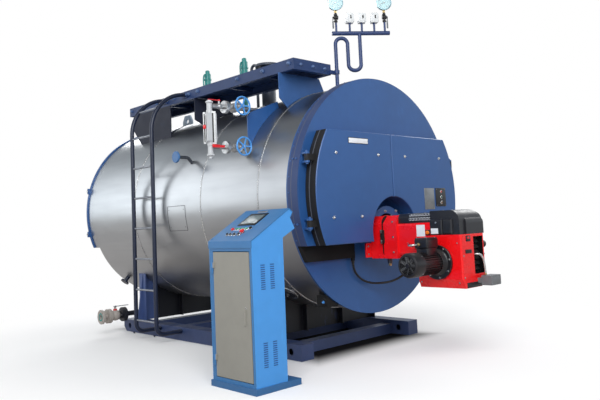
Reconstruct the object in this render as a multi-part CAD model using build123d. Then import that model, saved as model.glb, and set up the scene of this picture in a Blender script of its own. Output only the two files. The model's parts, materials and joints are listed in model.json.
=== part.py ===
"""Horizontal fire-tube steam boiler on a skid, with its burner and control desk.

Millimetres. +Z is up, +Y runs from the burner end to the rear, +X is the boiler's right side.
The origin lies on the floor under the boiler axis, at the middle of the skid.
"""

from build123d import *
import math
import os

# Boiler body, along its axis from the front plane of the smokebox
AXIS_Z = 1429.0
SMOKEBOX_RADIUS = 1100.0
SMOKEBOX_WALL = 12.0
SMOKEBOX_DEPTH = 122.0
SMOKEBOX_FLOOR_Z = 1005.0
PLATE_RIM = 5.0
JACKET_RADIUS = 1067.0
JACKET_THICKNESS = 100.0
SHELL_WALL = 18.0
END_PLATE = 20.0
BODY_LENGTH = 3593.0
REAR_SMOKEBOX_DEPTH = 105.0
REAR_COVER_DEPTH = 30.0
REAR_COVER_RADIUS = 1082.0
REAR_COVER_RIM = 40.0
REAR_COVER_PLATE = 12.0
SEAT = 0.3

# Skid
SKID_START = 319.0
SKID_LENGTH = 3124.0
SKID_HALF_WIDTH = 835.0
BEAM_WIDTH = 150.0
BEAM_HEIGHT = 140.0
BEAM_WALL = 8.0
BEAM_CHAMFER = 55.0
BAR_HOLE_RADIUS = 30.0
BAR_HOLE_INSET = 135.0
CROSS_WIDTH = 120.0
CROSS_HEIGHT = 100.0
CROSS_COUNT = 5
CROSS_INSET = 290.0
SADDLE_STATIONS = (900.0, 3113.0)
SADDLE_WEB = 20.0
SADDLE_HALF_ANGLE = 46.0
SADDLE_RIB_WIDTH = 140.0
SADDLE_RIB = 14.0

# Front doors and their hinges
DOOR_RADIUS = 1012.0
DOOR_THICKNESS = 126.0
DOOR_BACK_GAP = 6.0
DOOR_SEAM = 8.0
DOOR_TOP_Z = 1980.0
DOOR_EDGE_BREAK = 6.0
DOOR_LAP = 66.0
HINGE_X = 1035.0
HINGE_DEPTH = 66.0
HINGE_HEIGHTS = (1188.0, 1738.0)
HINGE_PIN_RADIUS = 12.0
HINGE_EYE_RADIUS = 24.0
KNUCKLE_HEIGHT = 56.0
EAR_THICKNESS = 16.0
EAR_BASE = 33.0
EAR_HEEL = 4.0
PIN_GAP = 0.3
PIN_OVERHANG = 14.0

# Burner
BURNER_Z = 1085.0
BURNER_ARCH_RADIUS = 319.0
COLLAR_RADIUS = 225.0
COLLAR_BORE = 168.0
COLLAR_FLANGE_RADIUS = 236.0
COLLAR_FLANGE = 22.0
HEAD_START = 33.0
HEAD_LENGTH = 286.0
HEAD_HALF_WIDTH = 240.0
HEAD_BOTTOM_Z = 852.0
HEAD_TOP_Z = 1228.0
HEAD_CORNER = 70.0
BLAST_TUBE_RADIUS = 150.0
BLAST_TUBE_WALL = 6.0
NECK_HALF_WIDTH = 220.0
NECK_LENGTH = 198.0
NECK_BOTTOM_Z = 880.0
NECK_TOP_Z = 1155.0
FAN_LENGTH = 440.0
FAN_LEFT_X = -220.0
FAN_RIGHT_X = 125.0
FAN_BOTTOM_Z = 613.0
FAN_TOP_Z = 1048.0
FAN_CORNER = 75.0
FAN_RECESS_LEFT_X = -40.0
FAN_RECESS_BOTTOM_Z = 720.0
FAN_RECESS_RIM = 22.0
FAN_RECESS_DEPTH = 60.0
COVER_TOP_Z = 1250.0
COVER_STEP_Z = 1200.0
COVER_FRONT = 943.0
COVER_STEP = 148.0
COVER_HALF_WIDTH = 205.0
COVER_ROUND = 45.0
COVER_LEFT_X = -210.0
COVER_NOSE_LEFT_X = -130.0
COVER_OVERHANG = 6.0
COVER_FRONT_ROUND = 85.0
COVER_NOSE_ROUND = 60.0
COVER_LOBES = ((672.0, 792.0), (800.0, 884.0))
COVER_LOBE_OUT = 24.0
COVER_LOBE_TOP_Z = 1178.0
MOTOR_BEHIND_FRONT = 726.0
MOTOR_Z = 826.0
MOTOR_RADIUS = 88.0
MOTOR_END_X = -640.0
MOTOR_FLANGE_RADIUS = 143.0
MOTOR_FLANGE = 26.0
MOTOR_COWL_LENGTH = 120.0
MOTOR_COWL_RADIUS = 98.0
TERMINAL_BOX = (230.0, 130.0, 84.0)
TERMINAL_BOX_X = -372.0
ACTUATOR_SIZE = (150.0, 90.0, 80.0)
ACTUATOR_X = 72.0
ACTUATOR_Z = 665.0

# Cable duct below the left door and the cable to the burner
DUCT_DEPTH = 40.0
DUCT_HEIGHT = 140.0
DUCT_RIGHT_X = -341.0
CABLE_DIAMETER = 20.0
GLAND_RADIUS = 18.0
GLAND_LENGTH = 24.0
CABLE_START = (-362.0, 92.0)
CABLE_END = (120.0, -185.0)
CABLE_POINTS = (
    (-362.0, 92.0, 775.0),
    (-327.0, 88.0, 712.0),
    (-258.0, 82.0, 655.0),
    (-160.0, 68.0, 620.0),
    (-50.0, 40.0, 610.0),
    (7.0, -36.0, 622.0),
    (62.0, -108.0, 660.0),
    (101.0, -160.0, 712.0),
    (120.0, -185.0, 772.0),
)

# Walkway on the left shoulder
WALK_LEFT_X = -682.0
WALK_RIGHT_X = -182.0
WALK_START = 418.0
WALK_LENGTH = 3047.0
WALK_BOTTOM_Z = 2629.0
CHANNEL_HEIGHT = 100.0
CHANNEL_WALL = 8.0
CHANNEL_FLANGE = 48.0
DECK_PLATE = 5.0
WALK_CROSSBARS = 4
SUPPORT_PLATE = 10.0
FRONT_SUPPORT_STATION = 605.0
MIDDLE_SUPPORT_STATION = 2035.0
REAR_WEB_STATIONS = (2530.0, 3370.0)
GUSSET_STATION = 770.0

# Ladder
LADDER_X = -1133.0
LADDER_STATIONS = (2200.0, 2618.0)
LADDER_RAIL_RADIUS = 22.5
LADDER_FOOT_Z = 99.0
LADDER_TOP_Z = 2690.0
LADDER_BEND = 440.0
LADDER_FOOT_BEND = 90.0
RUNG_RADIUS = 11.0
RUNG_FIRST_Z = 228.0
RUNG_SPACING = 330.0

# Fittings on the top centre line
SAFETY_STATIONS = (1983.0, 2723.0)
SAFETY_TOP_Z = 3166.0
STEAM_STATION = 1562.0
STEAM_TOP_Z = 2995.0
STEAM_PIPE_RADIUS = 79.5
STEAM_BORE_RADIUS = 72.0
STEAM_FLANGE_RADIUS = 142.5
STEAM_FLANGE = 24.0
STEAM_PCD = 240.0
STEAM_BOLTS = 8
STEAM_HOLE_RADIUS = 11.0
VENT_STATION = 1755.0
VENT_RADIUS = 17.0
VENT_BEND = 48.0
VENT_TOP_Z = 3040.0
FRONT_LUG_STATION = 1180.0
REAR_LUG_INSET = 545.0
LUG_LENGTH = 200.0
LUG_HEIGHT = 165.0
LUG_PLATE = 25.0
LUG_HOLE_RADIUS = 32.0

# Gauge rack, turned about the vertical through the siphon's foot
RACK_X = -162.0
RACK_STATION = 396.0
RACK_TURN = -36.6
RACK_LENGTH = 583.0
RACK_PIPE_RADIUS = 21.0
RACK_Z = 3045.0
SIPHON_RADIUS = 19.0
SIPHON_LEGS = (30.0, 151.0, 277.0)
SIPHON_CROWN_Z = 2996.0
SIPHON_LOW_Z = 2672.0
GAUGE_POSITIONS = (46.0, 537.0)
SWITCH_POSITIONS = (182.0, 304.0, 430.0)
GAUGE_Z = 3350.0
GAUGE_RADIUS = 75.0
GAUGE_DEPTH = 48.0
GAUGE_STEM_RADIUS = 9.0
RISER_RADIUS = 11.0
COCK_Z = 3205.0
COCK_RADIUS = 20.0
COCK_LENGTH = 46.0
SWITCH_SIZE = (72.0, 60.0, 96.0)
SWITCH_BOTTOM_Z = 3148.0
LEVER_LENGTH = 118.0
LEVER_WIDTH = 14.0
LEVER_THICKNESS = 5.0
LEVER_BOSS_RADIUS = 10.0
LEVER_REACH = 7.0
CLAMP_Z = 2655.0

# Water level gauge on the left shoulder
LEVEL_STATION = 858.0
LEVEL_HEIGHTS = (1920.0, 2294.0)
LEVEL_PIPE_RADIUS = 21.0
LEVEL_VALVE_X = -1060.0
LEVEL_COLUMN_X = -1335.0
LEVEL_COLUMN_RADIUS = 25.0
LEVEL_COLUMN_Z = (1815.0, 2336.0)
LEVEL_FLANGE_RADIUS = 57.5
LEVEL_FLANGE = 16.0
VALVE_BODY_RADIUS = 46.0
VALVE_FACE = 80.0
VALVE_STEM_LENGTH = 150.0
STEM_RADIUS = 7.0
WHEEL_RADIUS = 90.0
WHEEL_RIM_RADIUS = 8.0
WHEEL_SPOKES = 5
WHEEL_HUB_RADIUS = 17.0
WHEEL_HUB_LENGTH = 22.0
LEVEL_COCK_X = -1225.0
LEVEL_COCK_RADIUS = 27.0
LEVEL_LEVER_LENGTH = 135.0
LEVEL_LEVER_WIDTH = 20.0
LEVEL_LEVER_THICKNESS = 6.0

# Nozzles on the jacket
SIDE_NOZZLE_STATION = 1694.0
SIDE_NOZZLE_Z = 1918.0
SIDE_NOZZLE_OUT = 83.0
SIDE_NOZZLE_RADIUS = 17.0
SIDE_CAP_RADIUS = 59.0
SIDE_CAP_THICKNESS = 24.0
HANDHOLE_STATION = 653.0
HANDHOLE_ANGLE = 233.4
HANDHOLE_RADIUS = 105.0
DRAIN_INSET = 160.0
DRAIN_ANGLE = 229.0

# Blowdown line under the shell
BLOWDOWN_INSET = 460.0
BLOWDOWN_Z = 220.0
BLOWDOWN_RADIUS = 28.5
BLOWDOWN_BORE = 25.0
BLOWDOWN_BEND = 76.0
BLOWDOWN_FACE_X = -1221.0
BLOWDOWN_FLANGE_RADIUS = 82.5
BLOWDOWN_FLANGE = 20.0
BLOWDOWN_PCD = 125.0
BLOWDOWN_BOLTS = 4
BLOWDOWN_HOLE_RADIUS = 9.0
BLOWDOWN_VALVE_X = -1040.0
BLOWDOWN_VALVE_RADIUS = 62.0

# Flue outlet on the rear cover
FLUE_Z = 1760.0
FLUE_RADIUS = 260.0
FLUE_WALL = 6.0
FLUE_LENGTH = 120.0
FLUE_FLANGE_RADIUS = 310.0
FLUE_FLANGE = 12.0
FLUE_PCD = 580.0
FLUE_BOLTS = 12
FLUE_HOLE_RADIUS = 7.0

# Control desk, standing free beside the front of the boiler
DESK_FRONT_X = -1791.0
DESK_BACK_X = -1493.0
DESK_START = -228.0
DESK_WIDTH = 517.0
DESK_SHEET = 3.0
PLINTH_HEIGHT = 46.0
PLINTH_LEFT_X = -1803.0
PLINTH_RIGHT_X = -1368.0
PLINTH_MARGIN = 12.0
DESK_LID_Z = 1035.0
DESK_LIP_Z = 1085.0
DESK_LIP_OUT = 6.0
DESK_CREST_X = -1408.0
DESK_CREST_Z = 1311.0
DESK_TAIL_X = -1380.0
DESK_TAIL_Z = 1285.0
DESK_TUCK_X = -1404.0
DESK_TUCK_Z = 1247.0
DESK_BELLY_X = -1360.0
DESK_BELLY_Z = 1162.0
DESK_NECK_X = -1485.0
DESK_NECK_Z = 1097.0
DESK_DOOR_LEFT = 48.0
DESK_DOOR_RIGHT = 34.0
DESK_DOOR_BOTTOM_Z = 80.0
DESK_DOOR_TOP_Z = 1008.0
DESK_DOOR_GAP = 5.5
DESK_DOOR_SHEET = 18.0
DESK_FRAME_DEPTH = 20.0
DESK_DOOR_PROUD = 2.0
DESK_HINGE_RADIUS = 6.0
DESK_HINGE_OUT = 8.0
DESK_HINGE_INSET = 120.0
DESK_PIN_RADIUS = 3.0
DESK_KNUCKLE = 40.0
DESK_LEAF = 24.0
DESK_PULL_Z = 535.0
DESK_PULL_HEIGHT = 110.0
DESK_PULL_OUT = 14.0

# Worked out from the sizes above
FRONT_Y = -(SKID_START + SKID_LENGTH / 2)
TUBE_PLATE_STATION = SMOKEBOX_DEPTH
JACKET_START = TUBE_PLATE_STATION + END_PLATE
JACKET_END = JACKET_START + BODY_LENGTH
REAR_SMOKEBOX_START = JACKET_END + END_PLATE
REAR_COVER_START = REAR_SMOKEBOX_START + REAR_SMOKEBOX_DEPTH
REAR_COVER_END = REAR_COVER_START + REAR_COVER_DEPTH
SHELL_RADIUS = JACKET_RADIUS - JACKET_THICKNESS
SHELL_TOP_Z = AXIS_Z + JACKET_RADIUS
WALK_TOP_Z = WALK_BOTTOM_Z + CHANNEL_HEIGHT
HEAD_END = HEAD_START + HEAD_LENGTH
NECK_END = HEAD_END + NECK_LENGTH
FAN_END = NECK_END + FAN_LENGTH
COVER_STEP_END = NECK_END + COVER_STEP
LUG_STATIONS = (FRONT_LUG_STATION, JACKET_END - REAR_LUG_INSET)
DRAIN_STATION = JACKET_END - DRAIN_INSET
BLOWDOWN_STATION = JACKET_END - BLOWDOWN_INSET
SIDE_NOZZLE_FACE_X = -JACKET_RADIUS - SIDE_NOZZLE_OUT


def station(distance):
    """Y of the plane that lies this far behind the smokebox front."""
    return FRONT_Y + distance


def block(x_range, y_range, z_range):
    """Box between two corners."""
    sizes = [high - low for low, high in (x_range, y_range, z_range)]
    middles = [(low + high) / 2 for low, high in (x_range, y_range, z_range)]
    return Pos(*middles) * Box(*sizes)


def across(face, start, end, height=AXIS_Z):
    """Extrude a face drawn in X and Z about a height, between two stations."""
    plane = Plane(origin=(0, station(end), height), x_dir=(1, 0, 0), z_dir=(0, -1, 0))
    return extrude(plane * face, amount=end - start)


def cross_plate(points, start, end):
    """Plate with an outline in X and Z, between two stations."""
    return across(make_face(Polyline(*points, close=True)), start, end, 0.0)


def rod(start, end, radius):
    """Round bar between two points."""
    start, end = Vector(*start), Vector(*end)
    plane = Plane(origin=start, z_dir=end - start)
    return extrude(plane * Circle(radius), amount=(end - start).length)


def pipe(start, end, radius, bore):
    """Round tube between two points."""
    start, end = Vector(*start), Vector(*end)
    plane = Plane(origin=start, z_dir=end - start)
    return extrude(plane * (Circle(radius) - Circle(bore)), amount=(end - start).length)


def drum(radius, start, end):
    """Cylinder about the boiler axis between two stations."""
    return across(Circle(radius), start, end)


def off_jacket(shape):
    """Trim a shape so that it seats on the round jacket."""
    return shape - drum(JACKET_RADIUS + SEAT, JACKET_START, JACKET_END)


def bolt_circle(centre, direction, pcd, count, radius, depth, first=0.0):
    """Cutters for the holes of a round flange, from its outer face inwards."""
    plane = Plane(origin=centre, z_dir=direction)
    holes = []
    for index in range(count):
        angle = math.radians(first + 360 * index / count)
        x, y = pcd / 2 * math.cos(angle), pcd / 2 * math.sin(angle)
        holes.append(plane * Pos(x, y, -depth / 2) * Cylinder(radius, depth + 2))
    return Compound(children=holes)


def turned(points, origin, direction):
    """Solid of revolution with its outline given as radius and distance along an axis."""
    plane = Plane(origin=origin, z_dir=direction)
    outline = Polyline(*[(radius, 0, along) for radius, along in points], close=True)
    profile = make_face(outline)
    return plane * revolve(profile, Axis.Z)


def smokebox_face(radius, inset=0.0):
    """Round outline, cut flat below and arched over the burner."""
    floor = SMOKEBOX_FLOOR_Z - AXIS_Z + inset
    face = Circle(radius - inset)
    face -= Pos(0, floor - radius) * Rectangle(4 * radius, 2 * radius)
    return face - Pos(0, BURNER_Z - AXIS_Z) * Circle(BURNER_ARCH_RADIUS + inset)


def rear_face(radius, inset=0.0):
    """Round outline of the rear smokebox, cut flat below."""
    floor = SMOKEBOX_FLOOR_Z - AXIS_Z + inset
    return Circle(radius - inset) - Pos(0, floor - radius) * Rectangle(4 * radius, 2 * radius)


# Skid

def skid_beams():
    """Two closed box beams with a bar hole near each end."""
    beams = []
    start, end = station(SKID_START), station(SKID_START + SKID_LENGTH)
    for side in (-1, 1):
        outer_x, inner_x = side * SKID_HALF_WIDTH, side * (SKID_HALF_WIDTH - BEAM_WIDTH)
        x_range = (min(outer_x, inner_x), max(outer_x, inner_x))
        beam = block(x_range, (start, end), (0, BEAM_HEIGHT))
        inner = block(
            (x_range[0] + BEAM_WALL, x_range[1] - BEAM_WALL),
            (start + BEAM_WALL, end - BEAM_WALL - BEAM_CHAMFER),
            (BEAM_WALL, BEAM_HEIGHT - BEAM_WALL),
        )
        wedge = Plane.YZ.offset(x_range[0]) * make_face(
            Polyline((end - BEAM_CHAMFER, 0), (end, BEAM_CHAMFER), (end, 0), close=True)
        )
        beam = beam - inner - extrude(wedge, amount=BEAM_WIDTH)
        for y in (start + BAR_HOLE_INSET, end - BAR_HOLE_INSET):
            beam -= rod(
                (x_range[0] - 1, y, BEAM_HEIGHT / 2), (x_range[1] + 1, y, BEAM_HEIGHT / 2),
                BAR_HOLE_RADIUS,
            )
        beams.append(beam)
    return Compound(children=beams)


def cross_stations():
    """Middle stations of the cross members, evenly spaced along the skid."""
    first = SKID_START + CROSS_INSET
    pitch = (SKID_LENGTH - 2 * CROSS_INSET) / (CROSS_COUNT - 1)
    return [first + pitch * index for index in range(CROSS_COUNT)]


def skid_cross_members():
    """Square bars between the beams, their undersides on the floor."""
    reach = SKID_HALF_WIDTH - BEAM_WIDTH
    bars = []
    for middle in cross_stations():
        y = station(middle)
        bars.append(block(
            (-reach, reach), (y - CROSS_WIDTH / 2, y + CROSS_WIDTH / 2), (0, CROSS_HEIGHT)
        ))
    return Compound(children=bars)


def saddles():
    """Two webs with curved tops, each with ribs across it, on the beams."""
    result = []
    half = math.radians(SADDLE_HALF_ANGLE)
    top_x = JACKET_RADIUS * math.sin(half)
    top_z = AXIS_Z - JACKET_RADIUS * math.cos(half)
    for middle in SADDLE_STATIONS:
        web = cross_plate(
            (
                (-SKID_HALF_WIDTH, BEAM_HEIGHT), (SKID_HALF_WIDTH, BEAM_HEIGHT),
                (top_x, top_z), (top_x, AXIS_Z), (-top_x, AXIS_Z), (-top_x, top_z),
            ),
            middle - SADDLE_WEB / 2, middle + SADDLE_WEB / 2,
        )
        saddle = web
        for x in (-SKID_HALF_WIDTH + BEAM_WIDTH / 2, -top_x / 3, top_x / 3,
                  SKID_HALF_WIDTH - BEAM_WIDTH / 2):
            saddle += block(
                (x - SADDLE_RIB / 2, x + SADDLE_RIB / 2),
                (station(middle - SADDLE_RIB_WIDTH / 2), station(middle + SADDLE_RIB_WIDTH / 2)),
                (BEAM_HEIGHT, AXIS_Z - JACKET_RADIUS * 0.4),
            )
        saddle -= drum(JACKET_RADIUS + SEAT, 0, JACKET_END)
        result.append(saddle)
    return Compound(children=result)


# Boiler body

def steam_column(radius):
    """Cutter down the middle of the steam nozzle."""
    y = station(STEAM_STATION)
    return rod((0, y, AXIS_Z), (0, y, STEAM_TOP_Z), radius)


def pressure_shell():
    """Rolled steel shell inside the insulation, open under the steam nozzle."""
    shell = across(
        Circle(SHELL_RADIUS) - Circle(SHELL_RADIUS - SHELL_WALL), JACKET_START, JACKET_END
    )
    return shell - steam_column(STEAM_BORE_RADIUS)


def jacket():
    """Insulation with its polished sheet cladding, cut for the steam nozzle."""
    sleeve = across(Circle(JACKET_RADIUS) - Circle(SHELL_RADIUS), JACKET_START, JACKET_END)
    return sleeve - steam_column(STEAM_PIPE_RADIUS + SEAT)


def front_tube_plate():
    """Round end plate with the furnace mouth in it."""
    plate = drum(SMOKEBOX_RADIUS - PLATE_RIM, TUBE_PLATE_STATION, TUBE_PLATE_STATION + END_PLATE)
    return plate - across(
        Circle(COLLAR_BORE), 0, JACKET_START + 1, BURNER_Z
    )


def front_smokebox():
    """Rim of the smokebox: round above, flat below and arched over the burner."""
    wall = smokebox_face(SMOKEBOX_RADIUS) - smokebox_face(SMOKEBOX_RADIUS, SMOKEBOX_WALL)
    return across(wall, 0, SMOKEBOX_DEPTH)


def smokebox_front_plate():
    """Face plate inside the rim, open behind the two doors."""
    face = smokebox_face(SMOKEBOX_RADIUS, SMOKEBOX_WALL)
    opening = Circle(DOOR_RADIUS - DOOR_LAP)
    low = SMOKEBOX_FLOOR_Z + DOOR_LAP - AXIS_Z
    high = DOOR_TOP_Z - DOOR_LAP - AXIS_Z
    opening &= Pos(0, (low + high) / 2) * Rectangle(2 * DOOR_RADIUS, high - low)
    opening -= Pos(0, BURNER_Z - AXIS_Z) * Circle(BURNER_ARCH_RADIUS + DOOR_LAP)
    return across(face - opening, 0, SMOKEBOX_WALL)


def rear_tube_plate():
    """Round rear end plate of the shell."""
    return drum(JACKET_RADIUS, JACKET_END, REAR_SMOKEBOX_START)


def rear_smokebox():
    """Clad rear smokebox wall, flat below."""
    wall = rear_face(JACKET_RADIUS) - rear_face(JACKET_RADIUS, REAR_COVER_RIM / 2)
    return across(wall, REAR_SMOKEBOX_START, REAR_COVER_START)


def rear_cover():
    """Bolted rear cover: a shallow tray with a deep rim and the flue hole."""
    tray = across(rear_face(REAR_COVER_RADIUS), REAR_COVER_START, REAR_COVER_END)
    tray -= across(
        rear_face(REAR_COVER_RADIUS, REAR_COVER_RIM),
        REAR_COVER_START - 1, REAR_COVER_END - REAR_COVER_PLATE,
    )
    return tray - across(
        Circle(FLUE_RADIUS - FLUE_WALL), REAR_COVER_START, REAR_COVER_END + 1, FLUE_Z
    )


def flue_outlet():
    """Round spigot with a bolted flange on the rear cover."""
    spigot = across(
        Circle(FLUE_RADIUS) - Circle(FLUE_RADIUS - FLUE_WALL),
        REAR_COVER_END, REAR_COVER_END + FLUE_LENGTH, FLUE_Z,
    )
    face = REAR_COVER_END + FLUE_LENGTH
    flange = across(
        Circle(FLUE_FLANGE_RADIUS) - Circle(FLUE_RADIUS - FLUE_WALL),
        face - FLUE_FLANGE, face, FLUE_Z,
    )
    holes = bolt_circle(
        (0, station(face), FLUE_Z), (0, 1, 0), FLUE_PCD, FLUE_BOLTS, FLUE_HOLE_RADIUS, FLUE_FLANGE
    )
    return spigot + flange - holes


# Front doors

def door_outline(side):
    """Half of the door pair, in X and height above the axis."""
    face = Circle(DOOR_RADIUS) - Pos(0, BURNER_Z - AXIS_Z) * Circle(BURNER_ARCH_RADIUS)
    low, high = SMOKEBOX_FLOOR_Z - AXIS_Z, DOOR_TOP_Z - AXIS_Z
    reach = DOOR_RADIUS + 10
    window = Pos(side * (reach + DOOR_SEAM) / 2, (low + high) / 2) * Rectangle(
        reach, high - low
    )
    return face & window


def hinge_pin_y():
    """Y of the door hinge pins."""
    return station(-HINGE_DEPTH)


def smokebox_door(side):
    """Thick insulated door with two hinge knuckles on its outer edge."""
    front = -(DOOR_BACK_GAP + DOOR_THICKNESS)
    door = across(door_outline(side), front, -DOOR_BACK_GAP)
    face_edges = door.faces().sort_by(Axis.Y)[0].edges()
    door = chamfer(face_edges, DOOR_EDGE_BREAK)
    pin_x, pin_y = side * HINGE_X, hinge_pin_y()
    for height in HINGE_HEIGHTS:
        edge_x = side * math.sqrt(DOOR_RADIUS ** 2 - (abs(height - AXIS_Z) + KNUCKLE_HEIGHT / 2) ** 2)
        arm_x = sorted((pin_x, edge_x - side * 30))
        z_range = (height - KNUCKLE_HEIGHT / 2, height + KNUCKLE_HEIGHT / 2)
        arm = block(arm_x, (pin_y - HINGE_EYE_RADIUS, pin_y + HINGE_EYE_RADIUS * 0.6), z_range)
        eye = rod((pin_x, pin_y, z_range[0]), (pin_x, pin_y, z_range[1]), HINGE_EYE_RADIUS)
        bore = rod(
            (pin_x, pin_y, z_range[0] - 1), (pin_x, pin_y, z_range[1] + 1),
            HINGE_PIN_RADIUS + PIN_GAP,
        )
        door = door + arm + eye - bore
    return door


def door_hinge_brackets():
    """Four fixed hinge brackets: a base, two ears and the pin through them."""
    brackets = []
    pin_y = hinge_pin_y()
    for side in (-1, 1):
        pin_x = side * HINGE_X
        for height in HINGE_HEIGHTS:
            half = KNUCKLE_HEIGHT / 2 + SEAT
            shape = None
            for low in (height - half - EAR_THICKNESS, height + half):
                eye = rod((pin_x, pin_y, low), (pin_x, pin_y, low + EAR_THICKNESS), HINGE_EYE_RADIUS)
                near, far = pin_x + side * EAR_HEEL, pin_x - side * EAR_BASE
                outline = Polyline(
                    (near, FRONT_Y), (pin_x + side * HINGE_EYE_RADIUS, pin_y),
                    (pin_x - side * HINGE_EYE_RADIUS, pin_y), (far, FRONT_Y), close=True,
                )
                web = extrude(Plane.XY.offset(low) * make_face(outline), amount=EAR_THICKNESS)
                shape = eye + web if shape is None else shape + eye + web
            x_range = sorted((pin_x + side * EAR_HEEL, pin_x - side * EAR_BASE))
            z_range = (height - half - EAR_THICKNESS, height + half + EAR_THICKNESS)
            shape += block(x_range, (FRONT_Y - 10, FRONT_Y), z_range)
            shape += rod(
                (pin_x, pin_y, z_range[0] - PIN_OVERHANG), (pin_x, pin_y, z_range[1] + PIN_OVERHANG),
                HINGE_PIN_RADIUS,
            )
            brackets.append(shape)
    return Compound(children=brackets)


# Burner

def burner_collar():
    """Round neck on the tube plate that carries the burner."""
    collar = across(
        Circle(COLLAR_RADIUS) - Circle(COLLAR_BORE), -HEAD_START, SMOKEBOX_DEPTH, BURNER_Z
    )
    flange = across(
        Circle(COLLAR_FLANGE_RADIUS) - Circle(COLLAR_BORE),
        -HEAD_START, -HEAD_START + COLLAR_FLANGE, BURNER_Z,
    )
    return collar + flange


def head_outline():
    """Head outline with cut upper corners, in X and Z."""
    return (
        (-HEAD_HALF_WIDTH, HEAD_BOTTOM_Z), (HEAD_HALF_WIDTH, HEAD_BOTTOM_Z),
        (HEAD_HALF_WIDTH, HEAD_TOP_Z - HEAD_CORNER), (HEAD_HALF_WIDTH - HEAD_CORNER, HEAD_TOP_Z),
        (-HEAD_HALF_WIDTH + HEAD_CORNER, HEAD_TOP_Z), (-HEAD_HALF_WIDTH, HEAD_TOP_Z - HEAD_CORNER),
    )


def burner_head():
    """Cast head: mounting plate, waist and rear plate, with the blast tube behind."""
    plate = HEAD_LENGTH * 0.45
    outline = head_outline()
    front = cross_plate(outline, -HEAD_END, -HEAD_END + HEAD_LENGTH - plate - 14)
    rear = cross_plate(outline, -HEAD_START - plate, -HEAD_START)
    waist = cross_plate(
        [(x * 0.95, z - math.copysign(10, z - BURNER_Z)) for x, z in outline],
        -HEAD_END + 10, -HEAD_START - 10,
    )
    tube = across(
        Circle(BLAST_TUBE_RADIUS) - Circle(BLAST_TUBE_RADIUS - BLAST_TUBE_WALL),
        -HEAD_START, SMOKEBOX_DEPTH, BURNER_Z,
    )
    return front + rear + waist + tube


def burner_neck():
    """Cast air duct between the head and the fan housing."""
    neck = block(
        (-NECK_HALF_WIDTH, NECK_HALF_WIDTH),
        (station(-NECK_END), station(-HEAD_END)), (NECK_BOTTOM_Z, NECK_TOP_Z),
    )
    return fillet(neck.edges().filter_by(Axis.Y), 25)


def fan_outline():
    """Fan housing outline with cut lower corners, in X and Z."""
    return (
        (FAN_LEFT_X, FAN_BOTTOM_Z + FAN_CORNER), (FAN_LEFT_X + FAN_CORNER * 0.4, FAN_BOTTOM_Z),
        (FAN_RIGHT_X - FAN_CORNER, FAN_BOTTOM_Z), (FAN_RIGHT_X, FAN_BOTTOM_Z + FAN_CORNER),
        (FAN_RIGHT_X, FAN_TOP_Z), (FAN_LEFT_X, FAN_TOP_Z),
    )


def burner_fan_housing():
    """Fan housing with the recess for the air damper in its front face."""
    housing = cross_plate(fan_outline(), -FAN_END, -NECK_END)
    recess = block(
        (FAN_RECESS_LEFT_X, FAN_RIGHT_X - FAN_RECESS_RIM),
        (station(-FAN_END) - 1, station(-FAN_END + FAN_RECESS_DEPTH)),
        (FAN_RECESS_BOTTOM_Z, FAN_TOP_Z - FAN_RECESS_RIM),
    )
    corners = housing.edges().filter_by(Axis.Z)
    housing = fillet(corners, 14) - recess
    riser = block(
        (FAN_LEFT_X, FAN_RIGHT_X), (station(-COVER_STEP_END), station(-NECK_END)),
        (FAN_TOP_Z, NECK_TOP_Z),
    )
    return housing + riser


def burner_cover():
    """Moulded cover over the neck, stepping down over the fan housing."""
    right_x = FAN_RIGHT_X + COVER_OVERHANG
    low = block(
        (-COVER_HALF_WIDTH, COVER_HALF_WIDTH), (station(-COVER_STEP_END), station(-HEAD_END)),
        (NECK_TOP_Z, COVER_TOP_Z - 12),
    )
    low = fillet(low.edges().filter_by(Axis.Y).group_by(Axis.Z)[-1], COVER_ROUND)
    cover = low + rounded_hood(COVER_LEFT_X, right_x, COVER_FRONT, COVER_TOP_Z, COVER_FRONT_ROUND)
    cover += rounded_hood(COVER_NOSE_LEFT_X, right_x, FAN_END, COVER_STEP_Z, COVER_NOSE_ROUND)
    for first, last in COVER_LOBES:
        lobe = block(
            (-COVER_HALF_WIDTH - COVER_LOBE_OUT, -COVER_HALF_WIDTH), (station(-last), station(-first)),
            (FAN_TOP_Z + 2, COVER_LOBE_TOP_Z),
        )
        rounded = lobe.edges().group_by(Axis.X)[0].sort_by(Axis.Y)
        cover += fillet([rounded[0], *rounded[1:3]], COVER_LOBE_OUT * 0.6)
    return cover


def rounded_hood(left_x, right_x, front, top_z, radius):
    """Hood block on the fan housing, rounded at the top along its front and right side."""
    hood = block(
        (left_x, right_x), (station(-front), station(-COVER_STEP_END)), (FAN_TOP_Z, top_z)
    )
    top = hood.edges().group_by(Axis.Z)[-1]
    front_edge = top.filter_by(Axis.X).sort_by(Axis.Y)[:1]
    right_edge = top.filter_by(Axis.Y).sort_by(Axis.X)[-1:]
    return fillet([*front_edge, *right_edge], radius)


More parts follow.
